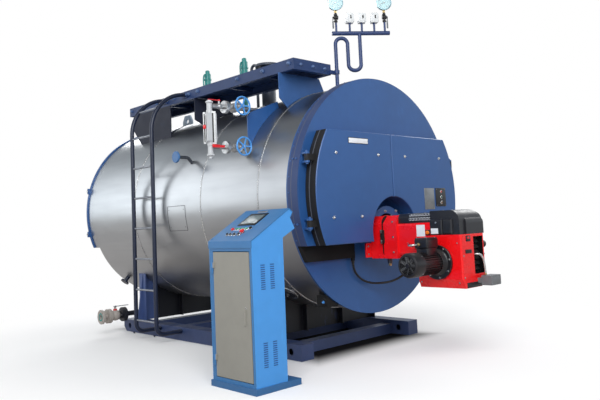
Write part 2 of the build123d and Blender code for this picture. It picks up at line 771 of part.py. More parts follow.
def burner_motor():
    """Fan motor: flange, finned body, cowl and terminal box."""
    y = station(-MOTOR_BEHIND_FRONT)
    axis_point = (FAN_LEFT_X, y, MOTOR_Z)
    length = FAN_LEFT_X - MOTOR_END_X
    cowl_start = length - MOTOR_COWL_LENGTH
    body = turned(
        (
            (0, 0), (MOTOR_FLANGE_RADIUS, 0), (MOTOR_FLANGE_RADIUS, MOTOR_FLANGE),
            (MOTOR_RADIUS, MOTOR_FLANGE + 14), (MOTOR_RADIUS, cowl_start),
            (MOTOR_COWL_RADIUS, cowl_start), (MOTOR_COWL_RADIUS, length - 18),
            (MOTOR_COWL_RADIUS - 14, length), (0, length),
        ),
        axis_point, (-1, 0, 0),
    )
    size_x, size_y, size_z = TERMINAL_BOX
    seat_z = MOTOR_Z + MOTOR_RADIUS * 0.8
    top_z = seat_z + size_z + 50
    box = block(
        (TERMINAL_BOX_X - size_x / 2, TERMINAL_BOX_X + size_x / 2),
        (y - size_y / 2, y + size_y / 2), (seat_z, top_z),
    )
    box = fillet(box.edges().filter_by(Axis.Z), 12)
    return body + box


def damper_actuator():
    """Grey box that drives the air damper, on a bracket at the housing's lower front."""
    size_x, size_y, size_z = ACTUATOR_SIZE
    face_y = station(-FAN_END)
    box = block(
        (ACTUATOR_X - size_x / 2, ACTUATOR_X + size_x / 2), (face_y - 30 - size_y, face_y - 30),
        (ACTUATOR_Z - size_z / 2, ACTUATOR_Z + size_z / 2),
    )
    box = fillet(box.edges().filter_by(Axis.Y), 8)
    bracket = block(
        (FAN_RIGHT_X - FAN_CORNER - 60, ACTUATOR_X), (face_y - 30, face_y),
        (ACTUATOR_Z - 20, ACTUATOR_Z + 20),
    )
    return box + bracket


# Cable duct and cable

def cable_duct():
    """Flat sheet duct under the left half of the smokebox, trimmed to the end plate."""
    duct = block(
        (-SMOKEBOX_RADIUS, DUCT_RIGHT_X),
        (station(SMOKEBOX_DEPTH - DUCT_DEPTH), station(SMOKEBOX_DEPTH)),
        (SMOKEBOX_FLOOR_Z - DUCT_HEIGHT, SMOKEBOX_FLOOR_Z),
    )
    duct &= drum(SMOKEBOX_RADIUS - PLATE_RIM, 0, SMOKEBOX_DEPTH)
    x, from_front = CABLE_START
    floor = SMOKEBOX_FLOOR_Z - DUCT_HEIGHT
    gland = rod(
        (x, station(from_front), floor - GLAND_LENGTH), (x, station(from_front), floor), GLAND_RADIUS
    )
    return duct + gland


def cable_route():
    """Centre line points of the cable, from the duct's gland to the burner head."""
    start = (CABLE_START[0], CABLE_START[1], SMOKEBOX_FLOOR_Z - DUCT_HEIGHT - GLAND_LENGTH)
    end = (CABLE_END[0], CABLE_END[1], HEAD_BOTTOM_Z)
    return [(x, station(y), z) for x, y, z in (start, *CABLE_POINTS, end)]


def cable_radii(points):
    """Largest tangent arcs that the runs of the route allow."""
    radii = []
    for before, point, after in zip(points, points[1:], points[2:]):
        run_in, run_out = Vector(*point) - Vector(*before), Vector(*after) - Vector(*point)
        turn = math.radians(run_in.get_angle(run_out))
        radii.append(0.45 * min(run_in.length, run_out.length) / math.tan(turn / 2))
    return radii


def burner_cable():
    """Black cable that hangs from the duct to the burner head."""
    points = cable_route()
    radii = cable_radii(points)
    print("cable radii", [round(radius) for radius in radii])
    path = FilletPolyline(*points, radius=radii)
    section = Plane(origin=path @ 0, z_dir=path % 0) * Circle(CABLE_DIAMETER / 2)
    tube = sweep(section, path=path)
    expected = math.pi * (CABLE_DIAMETER / 2) ** 2 * path.length
    print("cable length", round(path.length), "volume ratio", round(tube.volume / expected, 4))
    return tube


# Walkway and ladder

def walkway_frame():
    """Ring of channels with cross bars under the deck."""
    x_range, z_range = (WALK_LEFT_X, WALK_RIGHT_X), (WALK_BOTTOM_Z, WALK_TOP_Z)
    y_range = (station(WALK_START), station(WALK_START + WALK_LENGTH))
    ring = block(x_range, y_range, z_range)
    hole = block(
        (x_range[0] + CHANNEL_FLANGE, x_range[1] - CHANNEL_FLANGE),
        (y_range[0] + CHANNEL_FLANGE, y_range[1] - CHANNEL_FLANGE),
        (z_range[0] - 1, z_range[1] + 1),
    )
    trough = block(
        (x_range[0] + CHANNEL_WALL, x_range[1] - CHANNEL_WALL),
        (y_range[0] + CHANNEL_WALL, y_range[1] - CHANNEL_WALL),
        (z_range[0] + CHANNEL_WALL, z_range[1] - CHANNEL_WALL),
    )
    frame = ring - hole - trough
    pitch = WALK_LENGTH / (WALK_CROSSBARS + 1)
    for index in range(WALK_CROSSBARS):
        y = y_range[0] + pitch * (index + 1)
        frame += block(
            (x_range[0] + CHANNEL_WALL, x_range[1] - CHANNEL_WALL), (y - 20, y + 20),
            (z_range[1] - CHANNEL_WALL - 40, z_range[1] - CHANNEL_WALL),
        )
    return frame


def walkway_deck():
    """Tread plate on the channels."""
    return block(
        (WALK_LEFT_X, WALK_RIGHT_X), (station(WALK_START), station(WALK_START + WALK_LENGTH)),
        (WALK_TOP_Z, WALK_TOP_Z + DECK_PLATE),
    )


def by_jacket(angle, out):
    """X and Z of a corner, its angle counted from +X upwards, this far outside the jacket."""
    x, _, z = jacket_point(angle, JACKET_RADIUS + out, 0)
    return x, z


def walkway_supports():
    """Front and middle cross plates and a lengthwise web at the rear, all on the jacket."""
    thick = SUPPORT_PLATE
    front = cross_plate(
        (
            (WALK_LEFT_X - 22, WALK_BOTTOM_Z), by_jacket(126.3, 122), by_jacket(124.6, -21),
            by_jacket(96.0, -111), by_jacket(95.3, 14), (WALK_RIGHT_X + 20, WALK_BOTTOM_Z),
        ),
        FRONT_SUPPORT_STATION, FRONT_SUPPORT_STATION + thick,
    )
    middle = cross_plate(
        (
            (WALK_LEFT_X, WALK_BOTTOM_Z), by_jacket(125.4, 111), by_jacket(121.0, -39),
            by_jacket(99.0, -104), by_jacket(98.0, 14.5), (WALK_RIGHT_X, WALK_BOTTOM_Z),
        ),
        MIDDLE_SUPPORT_STATION, MIDDLE_SUPPORT_STATION + thick,
    )
    first, last = station(REAR_WEB_STATIONS[0]), station(REAR_WEB_STATIONS[1])
    foot_z = AXIS_Z + math.sqrt(JACKET_RADIUS ** 2 - WALK_LEFT_X ** 2)
    outline = Polyline(
        (first, WALK_BOTTOM_Z), (last, WALK_BOTTOM_Z), (last, foot_z + 180),
        (last - 190, foot_z - 20), (first, foot_z - 20), close=True,
    )
    rear = extrude(Plane.YZ.offset(WALK_LEFT_X) * make_face(outline), amount=thick)
    rear -= block(
        (WALK_LEFT_X - 1, WALK_LEFT_X + thick + 1), (first - 1, last + 1), (0, foot_z - 40)
    )
    return Compound(children=[off_jacket(front), off_jacket(middle), off_jacket(rear)])


def shoulder_gusset():
    """Fin across the left shoulder below the walkway."""
    gusset = cross_plate(
        (
            by_jacket(153.6, 0), by_jacket(149.6, 55), by_jacket(141.1, 177),
            by_jacket(138.2, 173), by_jacket(121.3, 55), by_jacket(124.3, -73),
            by_jacket(142.2, -54),
        ),
        GUSSET_STATION, GUSSET_STATION + SUPPORT_PLATE,
    )
    return off_jacket(gusset)


def ladder_rail_path(y):
    """Rail centre line: out from the skid, up, then over in a quarter circle to the walkway."""
    beam_x = -SKID_HALF_WIDTH
    return FilletPolyline(
        (beam_x, y, LADDER_FOOT_Z), (LADDER_X, y, LADDER_FOOT_Z), (LADDER_X, y, LADDER_TOP_Z),
        (WALK_LEFT_X + 30, y, LADDER_TOP_Z), radius=[LADDER_FOOT_BEND, LADDER_BEND],
    )


def ladder_rails():
    """Two bent tubes from the skid to the walkway."""
    rails = []
    for middle in LADDER_STATIONS:
        path = ladder_rail_path(station(middle))
        section = Plane(origin=path @ 0, z_dir=path % 0) * Circle(LADDER_RAIL_RADIUS)
        rail = sweep(section, path=path)
        rail -= block(
            (WALK_LEFT_X, WALK_LEFT_X + 200), (station(middle - 60), station(middle + 60)),
            (WALK_BOTTOM_Z - 200, WALK_TOP_Z + 200),
        )
        rails.append(rail)
    return Compound(children=rails)


def rung_places():
    """X and Z of each rung, evenly spaced along the rails."""
    places = []
    knee_z = LADDER_TOP_Z - LADDER_BEND
    straight = knee_z - RUNG_FIRST_Z
    arc = LADDER_BEND * math.pi / 2
    along = 0.0
    while along <= straight + arc - RUNG_SPACING / 2:
        if along <= straight:
            places.append((LADDER_X, RUNG_FIRST_Z + along))
        else:
            turn = (along - straight) / LADDER_BEND
            x = LADDER_X + LADDER_BEND * (1 - math.cos(turn))
            places.append((x, knee_z + LADDER_BEND * math.sin(turn)))
        along += RUNG_SPACING
    return places


def ladder_rungs():
    """Round rungs between the rails."""
    low = station(LADDER_STATIONS[0]) + LADDER_RAIL_RADIUS
    high = station(LADDER_STATIONS[1]) - LADDER_RAIL_RADIUS
    return Compound(children=[rod((x, low, z), (x, high, z), RUNG_RADIUS) for x, z in rung_places()])


# Fittings on the top

def safety_valves():
    """Two spring safety valves on flanged risers."""
    valves = []
    base = SHELL_TOP_Z + SEAT
    neck = SAFETY_TOP_Z - base
    for middle in SAFETY_STATIONS:
        valve = turned(
            (
                (0, 0), (30, 0), (30, 230), (60, 230), (60, 248), (62, 248), (62, 266), (38, 270),
                (46, 300), (50, 345), (40, 380), (44, 384), (44, 400), (30, 404), (30, neck - 110),
                (36, neck - 108), (36, neck - 60), (24, neck - 50), (24, neck - 8), (18, neck), (0, neck),
            ),
            (0, station(middle), base), (0, 0, 1),
        )
        outlet = rod((0, station(middle), base + 330), (95, station(middle), base + 330), 30)
        flange = rod((85, station(middle), base + 330), (103, station(middle), base + 330), 58)
        valves.append(off_jacket(valve + outlet + flange))
    return Compound(children=valves)


def steam_outlet():
    """Steam nozzle on the shell, through the insulation, with an open bolted flange."""
    y = station(STEAM_STATION)
    neck = pipe(
        (0, y, AXIS_Z + SHELL_RADIUS - 40), (0, y, STEAM_TOP_Z), STEAM_PIPE_RADIUS,
        STEAM_BORE_RADIUS,
    )
    flange = pipe(
        (0, y, STEAM_TOP_Z - STEAM_FLANGE), (0, y, STEAM_TOP_Z), STEAM_FLANGE_RADIUS,
        STEAM_BORE_RADIUS,
    )
    holes = bolt_circle(
        (0, y, STEAM_TOP_Z), (0, 0, 1), STEAM_PCD, STEAM_BOLTS, STEAM_HOLE_RADIUS, STEAM_FLANGE,
        180 / STEAM_BOLTS,
    )
    return neck + flange - holes - drum(SHELL_RADIUS + SEAT, JACKET_START, JACKET_END)


def vent_pipe():
    """Air vent: a riser that turns over and ends facing down."""
    y = station(VENT_STATION)
    path = FilletPolyline(
        (0, y, SHELL_TOP_Z + SEAT), (0, y, VENT_TOP_Z), (0, y + 2 * VENT_BEND, VENT_TOP_Z),
        (0, y + 2 * VENT_BEND, VENT_TOP_Z - 2 * VENT_BEND), radius=VENT_BEND * 0.98,
    )
    section = Plane(origin=path @ 0, z_dir=path % 0) * Circle(VENT_RADIUS)
    return off_jacket(sweep(section, path=path))


def lifting_lugs():
    """Two eye plates on the top centre line."""
    lugs = []
    base = SHELL_TOP_Z - 20
    for middle in LUG_STATIONS:
        y = station(middle)
        half = LUG_LENGTH / 2
        top = SHELL_TOP_Z + LUG_HEIGHT
        outline = Polyline(
            (y - half, base), (y + half, base), (y + half, top - 75), (y + half - 45, top),
            (y - half + 45, top), (y - half, top - 75), close=True,
        )
        plate = extrude(Plane.YZ.offset(-LUG_PLATE / 2) * make_face(outline), amount=LUG_PLATE)
        eye_z = top - 75
        plate -= rod((-LUG_PLATE, y, eye_z), (LUG_PLATE, y, eye_z), LUG_HOLE_RADIUS)
        lugs.append(off_jacket(plate))
    return Compound(children=lugs)


# Gauge rack

def rack_point(along, height, outward=0.0):
    """Point on the turned rack: distance along it, height, and distance to its front."""
    turn = math.radians(RACK_TURN)
    x = RACK_X + along * math.cos(turn) + outward * math.sin(turn)
    y = station(RACK_STATION) + along * math.sin(turn) - outward * math.cos(turn)
    return (x, y, height)


def rack_direction():
    """Unit vector along the rack's manifold."""
    turn = math.radians(RACK_TURN)
    return (math.cos(turn), math.sin(turn), 0)


def rack_front():
    """Unit vector that the gauges face."""
    turn = math.radians(RACK_TURN)
    return (math.sin(turn), -math.cos(turn), 0)


def gauge_pipework():
    """Siphon in an S bend, manifold, risers and cocks as one welded piece."""
    first, second, third = SIPHON_LEGS
    foot_x, foot_y, _ = rack_point(first, 0)
    foot_z = AXIS_Z + math.sqrt(JACKET_RADIUS ** 2 - foot_x ** 2)
    crown = (second - first) / 2 * 0.98
    path = FilletPolyline(
        rack_point(first, foot_z - 10), rack_point(first, SIPHON_CROWN_Z),
        rack_point(second, SIPHON_CROWN_Z), rack_point(second, SIPHON_LOW_Z),
        rack_point(third, SIPHON_LOW_Z), rack_point(third, RACK_Z), radius=crown,
    )
    section = Plane(origin=path @ 0, z_dir=path % 0) * Circle(SIPHON_RADIUS)
    work = sweep(section, path=path)
    work += rod(rack_point(0, RACK_Z), rack_point(RACK_LENGTH, RACK_Z), RACK_PIPE_RADIUS)
    for along in SWITCH_POSITIONS:
        work += rod(rack_point(along, RACK_Z), rack_point(along, SWITCH_BOTTOM_Z), RISER_RADIUS)
    for along in GAUGE_POSITIONS:
        work += rod(
            rack_point(along, RACK_Z), rack_point(along, GAUGE_Z - GAUGE_RADIUS), RISER_RADIUS
        )
        half = COCK_LENGTH / 2
        work += rod(
            rack_point(along - half, COCK_Z), rack_point(along + half, COCK_Z), COCK_RADIUS
        )
    clamp = rod(rack_point(first, CLAMP_Z - 18), rack_point(first, CLAMP_Z + 18), SIPHON_RADIUS + 9)
    corner = (WALK_RIGHT_X - 30, station(WALK_START))
    arm = block((corner[0], foot_x), (corner[1] - 24, corner[1]), (CLAMP_Z - 18, CLAMP_Z + 18))
    arm += block(
        (foot_x - 15, foot_x + 15), sorted((foot_y, corner[1])), (CLAMP_Z - 18, CLAMP_Z + 18)
    )
    return off_jacket(work + clamp + arm)


def pressure_switches():
    """Three pressure switch cases on their risers."""
    cases = []
    width, depth, height = SWITCH_SIZE
    for along in SWITCH_POSITIONS:
        x, y, z = rack_point(along, SWITCH_BOTTOM_Z)
        case = Box(width, depth, height)
        case = fillet(case.edges().filter_by(Axis.Z), 8)
        cases.append(Pos(x, y, z + height / 2) * Rot(0, 0, RACK_TURN) * case)
    return Compound(children=cases)


def pressure_gauges():
    """Two dial gauges, each with a rounded case and a rim."""
    gauges = []
    facing = Vector(*rack_front())
    for along in GAUGE_POSITIONS:
        centre = Vector(*rack_point(along, GAUGE_Z))
        back = centre - facing * (GAUGE_DEPTH / 2)
        case = turned(
            (
                (0, 0), (GAUGE_RADIUS - 14, 0), (GAUGE_RADIUS - 4, 10),
                (GAUGE_RADIUS - 4, GAUGE_DEPTH - 12), (GAUGE_RADIUS, GAUGE_DEPTH - 12),
                (GAUGE_RADIUS, GAUGE_DEPTH), (GAUGE_RADIUS - 7, GAUGE_DEPTH),
                (GAUGE_RADIUS - 7, GAUGE_DEPTH - 5), (0, GAUGE_DEPTH - 5),
            ),
            back, facing,
        )
        socket = rod(
            rack_point(along, GAUGE_Z - GAUGE_RADIUS), rack_point(along, GAUGE_Z - 20),
            GAUGE_STEM_RADIUS,
        )
        gauges.append(case + socket)
    return Compound(children=gauges)


def gauge_cock_lever(index):
    """Flat lever that hangs from the outer end of a gauge cock."""
    side = -1 if index == 0 else 1
    along = GAUGE_POSITIONS[index] + side * COCK_LENGTH / 2
    start = rack_point(along + side * SEAT, COCK_Z)
    end = rack_point(along + side * (LEVER_REACH + LEVER_THICKNESS), COCK_Z)
    boss = rod(start, end, LEVER_BOSS_RADIUS)
    middle = along + side * (LEVER_REACH + LEVER_THICKNESS / 2)
    x, y, _ = rack_point(middle, 0)
    bar = Box(LEVER_THICKNESS, LEVER_WIDTH, LEVER_LENGTH)
    bar = fillet(bar.edges().filter_by(Axis.X), 5)
    return boss + Pos(x, y, COCK_Z - LEVER_LENGTH / 2 + 6) * Rot(0, 0, RACK_TURN) * bar


# Water level gauge

def level_valve(height):
    """Globe valve on its stub from the shell, with flanges and a stem to the front."""
    y = station(LEVEL_STATION)
    root_x = -math.sqrt(JACKET_RADIUS ** 2 - (height - AXIS_Z) ** 2) + 40
    end_x = LEVEL_COLUMN_X + LEVEL_COLUMN_RADIUS
    valve = rod((root_x, y, height), (end_x, y, height), LEVEL_PIPE_RADIUS)
    valve += Pos(LEVEL_VALVE_X, y, height) * Sphere(VALVE_BODY_RADIUS)
    face = LEVEL_VALVE_X - VALVE_FACE
    for far in (face, face - LEVEL_FLANGE - 2):
        valve += rod((far, y, height), (far - LEVEL_FLANGE, y, height), LEVEL_FLANGE_RADIUS)
    bonnet = turned(
        (
            (0, 0), (36, 0), (36, 52), (44, 52), (44, 66), (22, 70), (18, 100), (13, 104),
            (13, 118), (STEM_RADIUS, 120), (STEM_RADIUS, VALVE_STEM_LENGTH), (0, VALVE_STEM_LENGTH),
        ),
        (LEVEL_VALVE_X, y, height), (0, -1, 0),
    )
    cock = Pos(LEVEL_COCK_X, y, height) * Sphere(LEVEL_COCK_RADIUS)
    return off_jacket(valve + bonnet + cock)


def level_cock_stem(upper):
    """Start, direction and end distance of a level cock's stem."""
    y = station(LEVEL_STATION)
    if upper:
        return (LEVEL_COCK_X, y, LEVEL_HEIGHTS[1]), (0, 0, 1), 50.0
    return (LEVEL_COCK_X, y, LEVEL_HEIGHTS[0]), (0, -1, 0), 42.0


def level_valves():
    """Upper and lower connections of the level gauge."""
    valves = []
    for index, height in enumerate(LEVEL_HEIGHTS):
        start, direction, reach = level_cock_stem(index == 1)
        end = Vector(*start) + Vector(*direction) * (reach - SEAT)
        valves.append(level_valve(height) + rod(start, (end.X, end.Y, end.Z), 9))
    return Compound(children=valves)


def level_column():
    """Float chamber with end fittings and the scale beside it."""
    y = station(LEVEL_STATION)
    low, high = LEVEL_COLUMN_Z
    column = turned(
        (
            (0, 0), (16, 0), (16, 20), (34, 22), (34, 36), (LEVEL_COLUMN_RADIUS, 38),
            (LEVEL_COLUMN_RADIUS, high - low - 20), (34, high - low - 18), (34, high - low - 8),
            (20, high - low), (0, high - low),
        ),
        (LEVEL_COLUMN_X, y, low), (0, 0, 1),
    )
    scale = block(
        (LEVEL_COLUMN_X - 52, LEVEL_COLUMN_X + 52),
        (y - LEVEL_COLUMN_RADIUS - 10, y - LEVEL_COLUMN_RADIUS + 4),
        (LEVEL_HEIGHTS[0] + 45, LEVEL_HEIGHTS[1] - 75),
    )
    return column + scale


def level_handwheel(height):
    """Spoked handwheel on the valve stem."""
    hub_y = station(LEVEL_STATION) - VALVE_STEM_LENGTH + WHEEL_HUB_LENGTH * 0.5
    plane = Plane(origin=(LEVEL_VALVE_X, hub_y, height), z_dir=(0, -1, 0))
    rim = Torus(WHEEL_RADIUS - WHEEL_RIM_RADIUS, WHEEL_RIM_RADIUS)
    wheel = rim + Pos(0, 0, 0) * Cylinder(WHEEL_HUB_RADIUS, WHEEL_HUB_LENGTH)
    for index in range(WHEEL_SPOKES):
        reach = WHEEL_RADIUS - WHEEL_RIM_RADIUS
        spoke = Pos(reach / 2, 0, 0) * Box(reach, 13, 7)
        wheel += Rot(0, 0, 90 + 360 * index / WHEEL_SPOKES) * spoke
    wheel -= Cylinder(STEM_RADIUS + PIN_GAP, WHEEL_HUB_LENGTH * 3)
    return plane * wheel


def level_cock_lever(upper):
    """Flat handle of a level cock, along the pipe and towards the column."""
    start, direction, reach = level_cock_stem(upper)
    start, direction = Vector(*start), Vector(*direction)
    seat = start + direction * reach
    boss = rod(
        (seat.X, seat.Y, seat.Z),
        tuple(seat + direction * (LEVEL_LEVER_THICKNESS + 8)), 11,
    )
    middle = seat + direction * (LEVEL_LEVER_THICKNESS / 2 + 2)
    middle -= Vector(LEVEL_LEVER_LENGTH / 2 - 14, 0, 0)
    sizes = (
        (LEVEL_LEVER_LENGTH, LEVEL_LEVER_WIDTH, LEVEL_LEVER_THICKNESS) if upper
        else (LEVEL_LEVER_LENGTH, LEVEL_LEVER_THICKNESS, LEVEL_LEVER_WIDTH)
    )
    bar = Box(*sizes)
    bar = fillet(bar.edges().filter_by(Axis.Z if upper else Axis.Y), 8)
    return boss + Pos(*middle) * bar


# Nozzles on the jacket

def jacket_point(angle, radius, middle):
    """Point on a cylinder about the boiler axis, its angle counted from +X upwards."""
    turn = math.radians(angle)
    return (radius * math.cos(turn), station(middle), AXIS_Z + radius * math.sin(turn))


def side_nozzle():
    """Small bent nozzle on the left shoulder, closed by a round cap."""
    y = station(SIDE_NOZZLE_STATION)
    foot_z = SIDE_NOZZLE_Z - 55
    foot_x = -math.sqrt(JACKET_RADIUS ** 2 - (foot_z - AXIS_Z) ** 2)
    path = FilletPolyline(
        (foot_x + 40, y, foot_z - 40), (foot_x - 45, y, SIDE_NOZZLE_Z),
        (SIDE_NOZZLE_FACE_X, y, SIDE_NOZZLE_Z), radius=50,
    )
    section = Plane(origin=path @ 0, z_dir=path % 0) * Circle(SIDE_NOZZLE_RADIUS)
    neck = sweep(section, path=path)
    cap = turned(
        (
            (0, 0), (SIDE_CAP_RADIUS - 4, 0), (SIDE_CAP_RADIUS, 4),
            (SIDE_CAP_RADIUS, SIDE_CAP_THICKNESS - 4),
            (SIDE_CAP_RADIUS - 4, SIDE_CAP_THICKNESS), (0, SIDE_CAP_THICKNESS),
        ),
        (SIDE_NOZZLE_FACE_X, y, SIDE_NOZZLE_Z), (-1, 0, 0),
    )
    return off_jacket(neck + cap)


def handhole():
    """Oval handhole collar on the lower left of the shell, with its cover."""
    outward = Vector(*jacket_point(HANDHOLE_ANGLE, 1, 0)) - Vector(0, station(0), AXIS_Z)
    foot = Vector(*jacket_point(HANDHOLE_ANGLE, JACKET_RADIUS - 40, HANDHOLE_STATION))
    plane = Plane(origin=foot, x_dir=(0, 1, 0), z_dir=outward)
    ring = Ellipse(HANDHOLE_RADIUS, HANDHOLE_RADIUS * 0.75)
    collar = extrude(plane * ring, amount=62)
    plane_top = Plane(origin=foot + outward * 62, x_dir=(0, 1, 0), z_dir=outward)
    cover = extrude(
        plane_top * Ellipse(HANDHOLE_RADIUS - 18, HANDHOLE_RADIUS * 0.75 - 18), amount=14
    )
    return off_jacket(collar + cover)


def drain_nozzle():
    """Short flanged drain on the lower left of the shell, near the rear."""
    inner = jacket_point(DRAIN_ANGLE, JACKET_RADIUS - 40, DRAIN_STATION)
    outer = jacket_point(DRAIN_ANGLE, JACKET_RADIUS + 60, DRAIN_STATION)
    face = jacket_point(DRAIN_ANGLE, JACKET_RADIUS + 76, DRAIN_STATION)
    return off_jacket(rod(inner, outer, 24) + rod(outer, face, 52))


# Blowdown

def blowdown_line():
    """Bottom pipe that turns out to the left, with its ball valve and end flange."""
    y = station(BLOWDOWN_STATION)
    inner_end = BLOWDOWN_VALVE_X + BLOWDOWN_VALVE_RADIUS
    path = FilletPolyline(
        (0, y, AXIS_Z - JACKET_RADIUS + 40), (0, y, BLOWDOWN_Z), (inner_end, y, BLOWDOWN_Z),
        radius=BLOWDOWN_BEND,
    )
    section = Plane(origin=path @ 0, z_dir=path % 0) * Circle(BLOWDOWN_RADIUS)
    line = sweep(section, path=path)
    line += Pos(BLOWDOWN_VALVE_X, y, BLOWDOWN_Z) * Sphere(BLOWDOWN_VALVE_RADIUS)
    line += rod((BLOWDOWN_VALVE_X, y, BLOWDOWN_Z), (BLOWDOWN_FACE_X, y, BLOWDOWN_Z), BLOWDOWN_RADIUS)
    for low_x in (
        BLOWDOWN_FACE_X, BLOWDOWN_VALVE_X - 85 - BLOWDOWN_FLANGE, BLOWDOWN_VALVE_X - 83,
        BLOWDOWN_VALVE_X + 85, BLOWDOWN_VALVE_X + 87 + BLOWDOWN_FLANGE,
    ):
        line += rod(
            (low_x, y, BLOWDOWN_Z), (low_x + BLOWDOWN_FLANGE, y, BLOWDOWN_Z), BLOWDOWN_FLANGE_RADIUS
        )
    line += rod(
        (BLOWDOWN_VALVE_X + 60, y, BLOWDOWN_Z), (BLOWDOWN_VALVE_X + 86, y, BLOWDOWN_Z), 45
    )
    line += rod(
        (BLOWDOWN_VALVE_X, y, BLOWDOWN_Z),
        (BLOWDOWN_VALVE_X, y, BLOWDOWN_Z + BLOWDOWN_VALVE_RADIUS + 34), 14,
    )
    bore_end = BLOWDOWN_VALVE_X - 40
    line -= rod((BLOWDOWN_FACE_X - 1, y, BLOWDOWN_Z), (bore_end, y, BLOWDOWN_Z), BLOWDOWN_BORE)
    line -= bolt_circle(
        (BLOWDOWN_FACE_X, y, BLOWDOWN_Z), (-1, 0, 0), BLOWDOWN_PCD, BLOWDOWN_BOLTS,
        BLOWDOWN_HOLE_RADIUS, BLOWDOWN_FLANGE, 45,
    )
    return off_jacket(line)


def blowdown_lever():
    """Handle of the blowdown valve, along the pipe."""
    y = station(BLOWDOWN_STATION)
    seat_z = BLOWDOWN_Z + BLOWDOWN_VALVE_RADIUS + 34 + SEAT
    boss = rod((BLOWDOWN_VALVE_X, y, seat_z), (BLOWDOWN_VALVE_X, y, seat_z + 14), 15)
    bar = Box(190, 24, 7)
    bar = fillet(bar.edges().filter_by(Axis.Z), 10)
    return boss + Pos(BLOWDOWN_VALVE_X + 75, y, seat_z + 6) * bar


# Control desk

def desk_profile():
    """Side outline of the desk above its plinth, in X and Z."""
    return [
        (DESK_FRONT_X, PLINTH_HEIGHT), (DESK_FRONT_X, DESK_LIP_Z),
        (DESK_CREST_X, DESK_CREST_Z), (DESK_TAIL_X, DESK_TAIL_Z), (DESK_TUCK_X, DESK_TUCK_Z),
        (DESK_BELLY_X, DESK_BELLY_Z), (DESK_NECK_X, DESK_NECK_Z), (DESK_BACK_X, PLINTH_HEIGHT),
    ]


def desk_plinth():
    """Low box that the desk stands on."""
    return block(
        (PLINTH_LEFT_X, PLINTH_RIGHT_X),
        (station(DESK_START - PLINTH_MARGIN), station(DESK_START + DESK_WIDTH + PLINTH_MARGIN)),
        (0, PLINTH_HEIGHT),
    )


def moved_inwards(chain, amount):
    """Points of a clockwise chain, each moved to the inner side of its two runs."""
    runs = [Vector(*after) - Vector(*before) for before, after in zip(chain, chain[1:])]
    normals = [Vector(run.Y, -run.X).normalized() for run in runs]
    result = []
    for index, point in enumerate(chain):
        before = normals[max(index - 1, 0)]
        after = normals[min(index, len(normals) - 1)]
        middle = before + after
        inner = Vector(*point) + middle * (amount / (1 + before.dot(after)))
        result.append((inner.X, inner.Y))
    return result


def desk_sides():
    """Two side sheets with the desk's whole outline."""
    sheets = []
    start, end = DESK_START, DESK_START + DESK_WIDTH
    for low, high in ((start, start + DESK_SHEET), (end - DESK_SHEET, end)):
        sheets.append(cross_plate(desk_profile(), low, high))
    return Compound(children=sheets)


def desk_back():
    """Back sheet of the desk, from the plinth up to the console's tail."""
    chain = desk_profile()[4:]
    sheet = make_face(Polyline(*chain, *reversed(moved_inwards(chain, DESK_SHEET)), close=True))
    return across(sheet, DESK_START + DESK_SHEET, DESK_START + DESK_WIDTH - DESK_SHEET, 0.0)


def desk_console():
    """Sloping console lid with a front lip."""
    rise = DESK_SHEET
    outline = (
        (DESK_FRONT_X - DESK_LIP_OUT, DESK_LID_Z), (DESK_FRONT_X - DESK_LIP_OUT, DESK_LIP_Z + 4),
        (DESK_CREST_X - 2, DESK_CREST_Z + 6), (DESK_TAIL_X + 6, DESK_TAIL_Z + 4),
        (DESK_TUCK_X + 4, DESK_TUCK_Z - 2), (DESK_TUCK_X, DESK_TUCK_Z),
        (DESK_TAIL_X, DESK_TAIL_Z), (DESK_CREST_X, DESK_CREST_Z), (DESK_FRONT_X, DESK_LIP_Z),
        (DESK_FRONT_X, DESK_LID_Z),
    )
    lid = cross_plate(outline, DESK_START - rise, DESK_START + DESK_WIDTH + rise)
    return lid


def desk_door_range():
    """Y range of the desk's door opening."""
    return (
        station(DESK_START + DESK_DOOR_RIGHT),
        station(DESK_START + DESK_WIDTH - DESK_DOOR_LEFT),
    )


def desk_front_frame():
    """Front sheet round the desk's door."""
    y_range = (station(DESK_START + DESK_SHEET), station(DESK_START + DESK_WIDTH - DESK_SHEET))
    frame = block(
        (DESK_FRONT_X, DESK_FRONT_X + DESK_FRAME_DEPTH), y_range, (PLINTH_HEIGHT, DESK_LIP_Z - 2)
    )
    low, high = desk_door_range()
    gap = DESK_DOOR_GAP
    frame -= block(
        (DESK_FRONT_X - 1, DESK_FRONT_X + DESK_FRAME_DEPTH + 1), (low - gap, high + gap),
        (DESK_DOOR_BOTTOM_Z - gap, DESK_DOOR_TOP_Z + gap),
    )
    for height in desk_hinge_heights():
        frame += desk_hinge_half(height - DESK_KNUCKLE, 1)
        low_end = (*desk_hinge_axis(), height - SEAT - 1)
        frame += rod(low_end, (*desk_hinge_axis(), height + DESK_KNUCKLE - SEAT), DESK_PIN_RADIUS)
    return frame


def desk_hinge_axis():
    """X and Y of the desk door's hinge pins."""
    return DESK_FRONT_X - DESK_HINGE_OUT, desk_door_range()[1] + DESK_DOOR_GAP / 2


def desk_hinge_heights():
    """Heights where the two halves of each desk hinge meet."""
    return DESK_DOOR_BOTTOM_Z + DESK_HINGE_INSET, DESK_DOOR_TOP_Z - DESK_HINGE_INSET


def desk_hinge_half(low, side):
    """Barrel and leaf of one hinge half: side 1 goes on the frame, side -1 on the door."""
    x, y = desk_hinge_axis()
    barrel = rod((x, y, low), (x, y, low + DESK_KNUCKLE - SEAT), DESK_HINGE_RADIUS)
    face_x = DESK_FRONT_X if side == 1 else DESK_FRONT_X - DESK_DOOR_PROUD
    leaf = block(
        (x - 2, face_x), sorted((y + side * 3, y + side * DESK_LEAF)),
        (low, low + DESK_KNUCKLE - SEAT),
    )
    return barrel + leaf


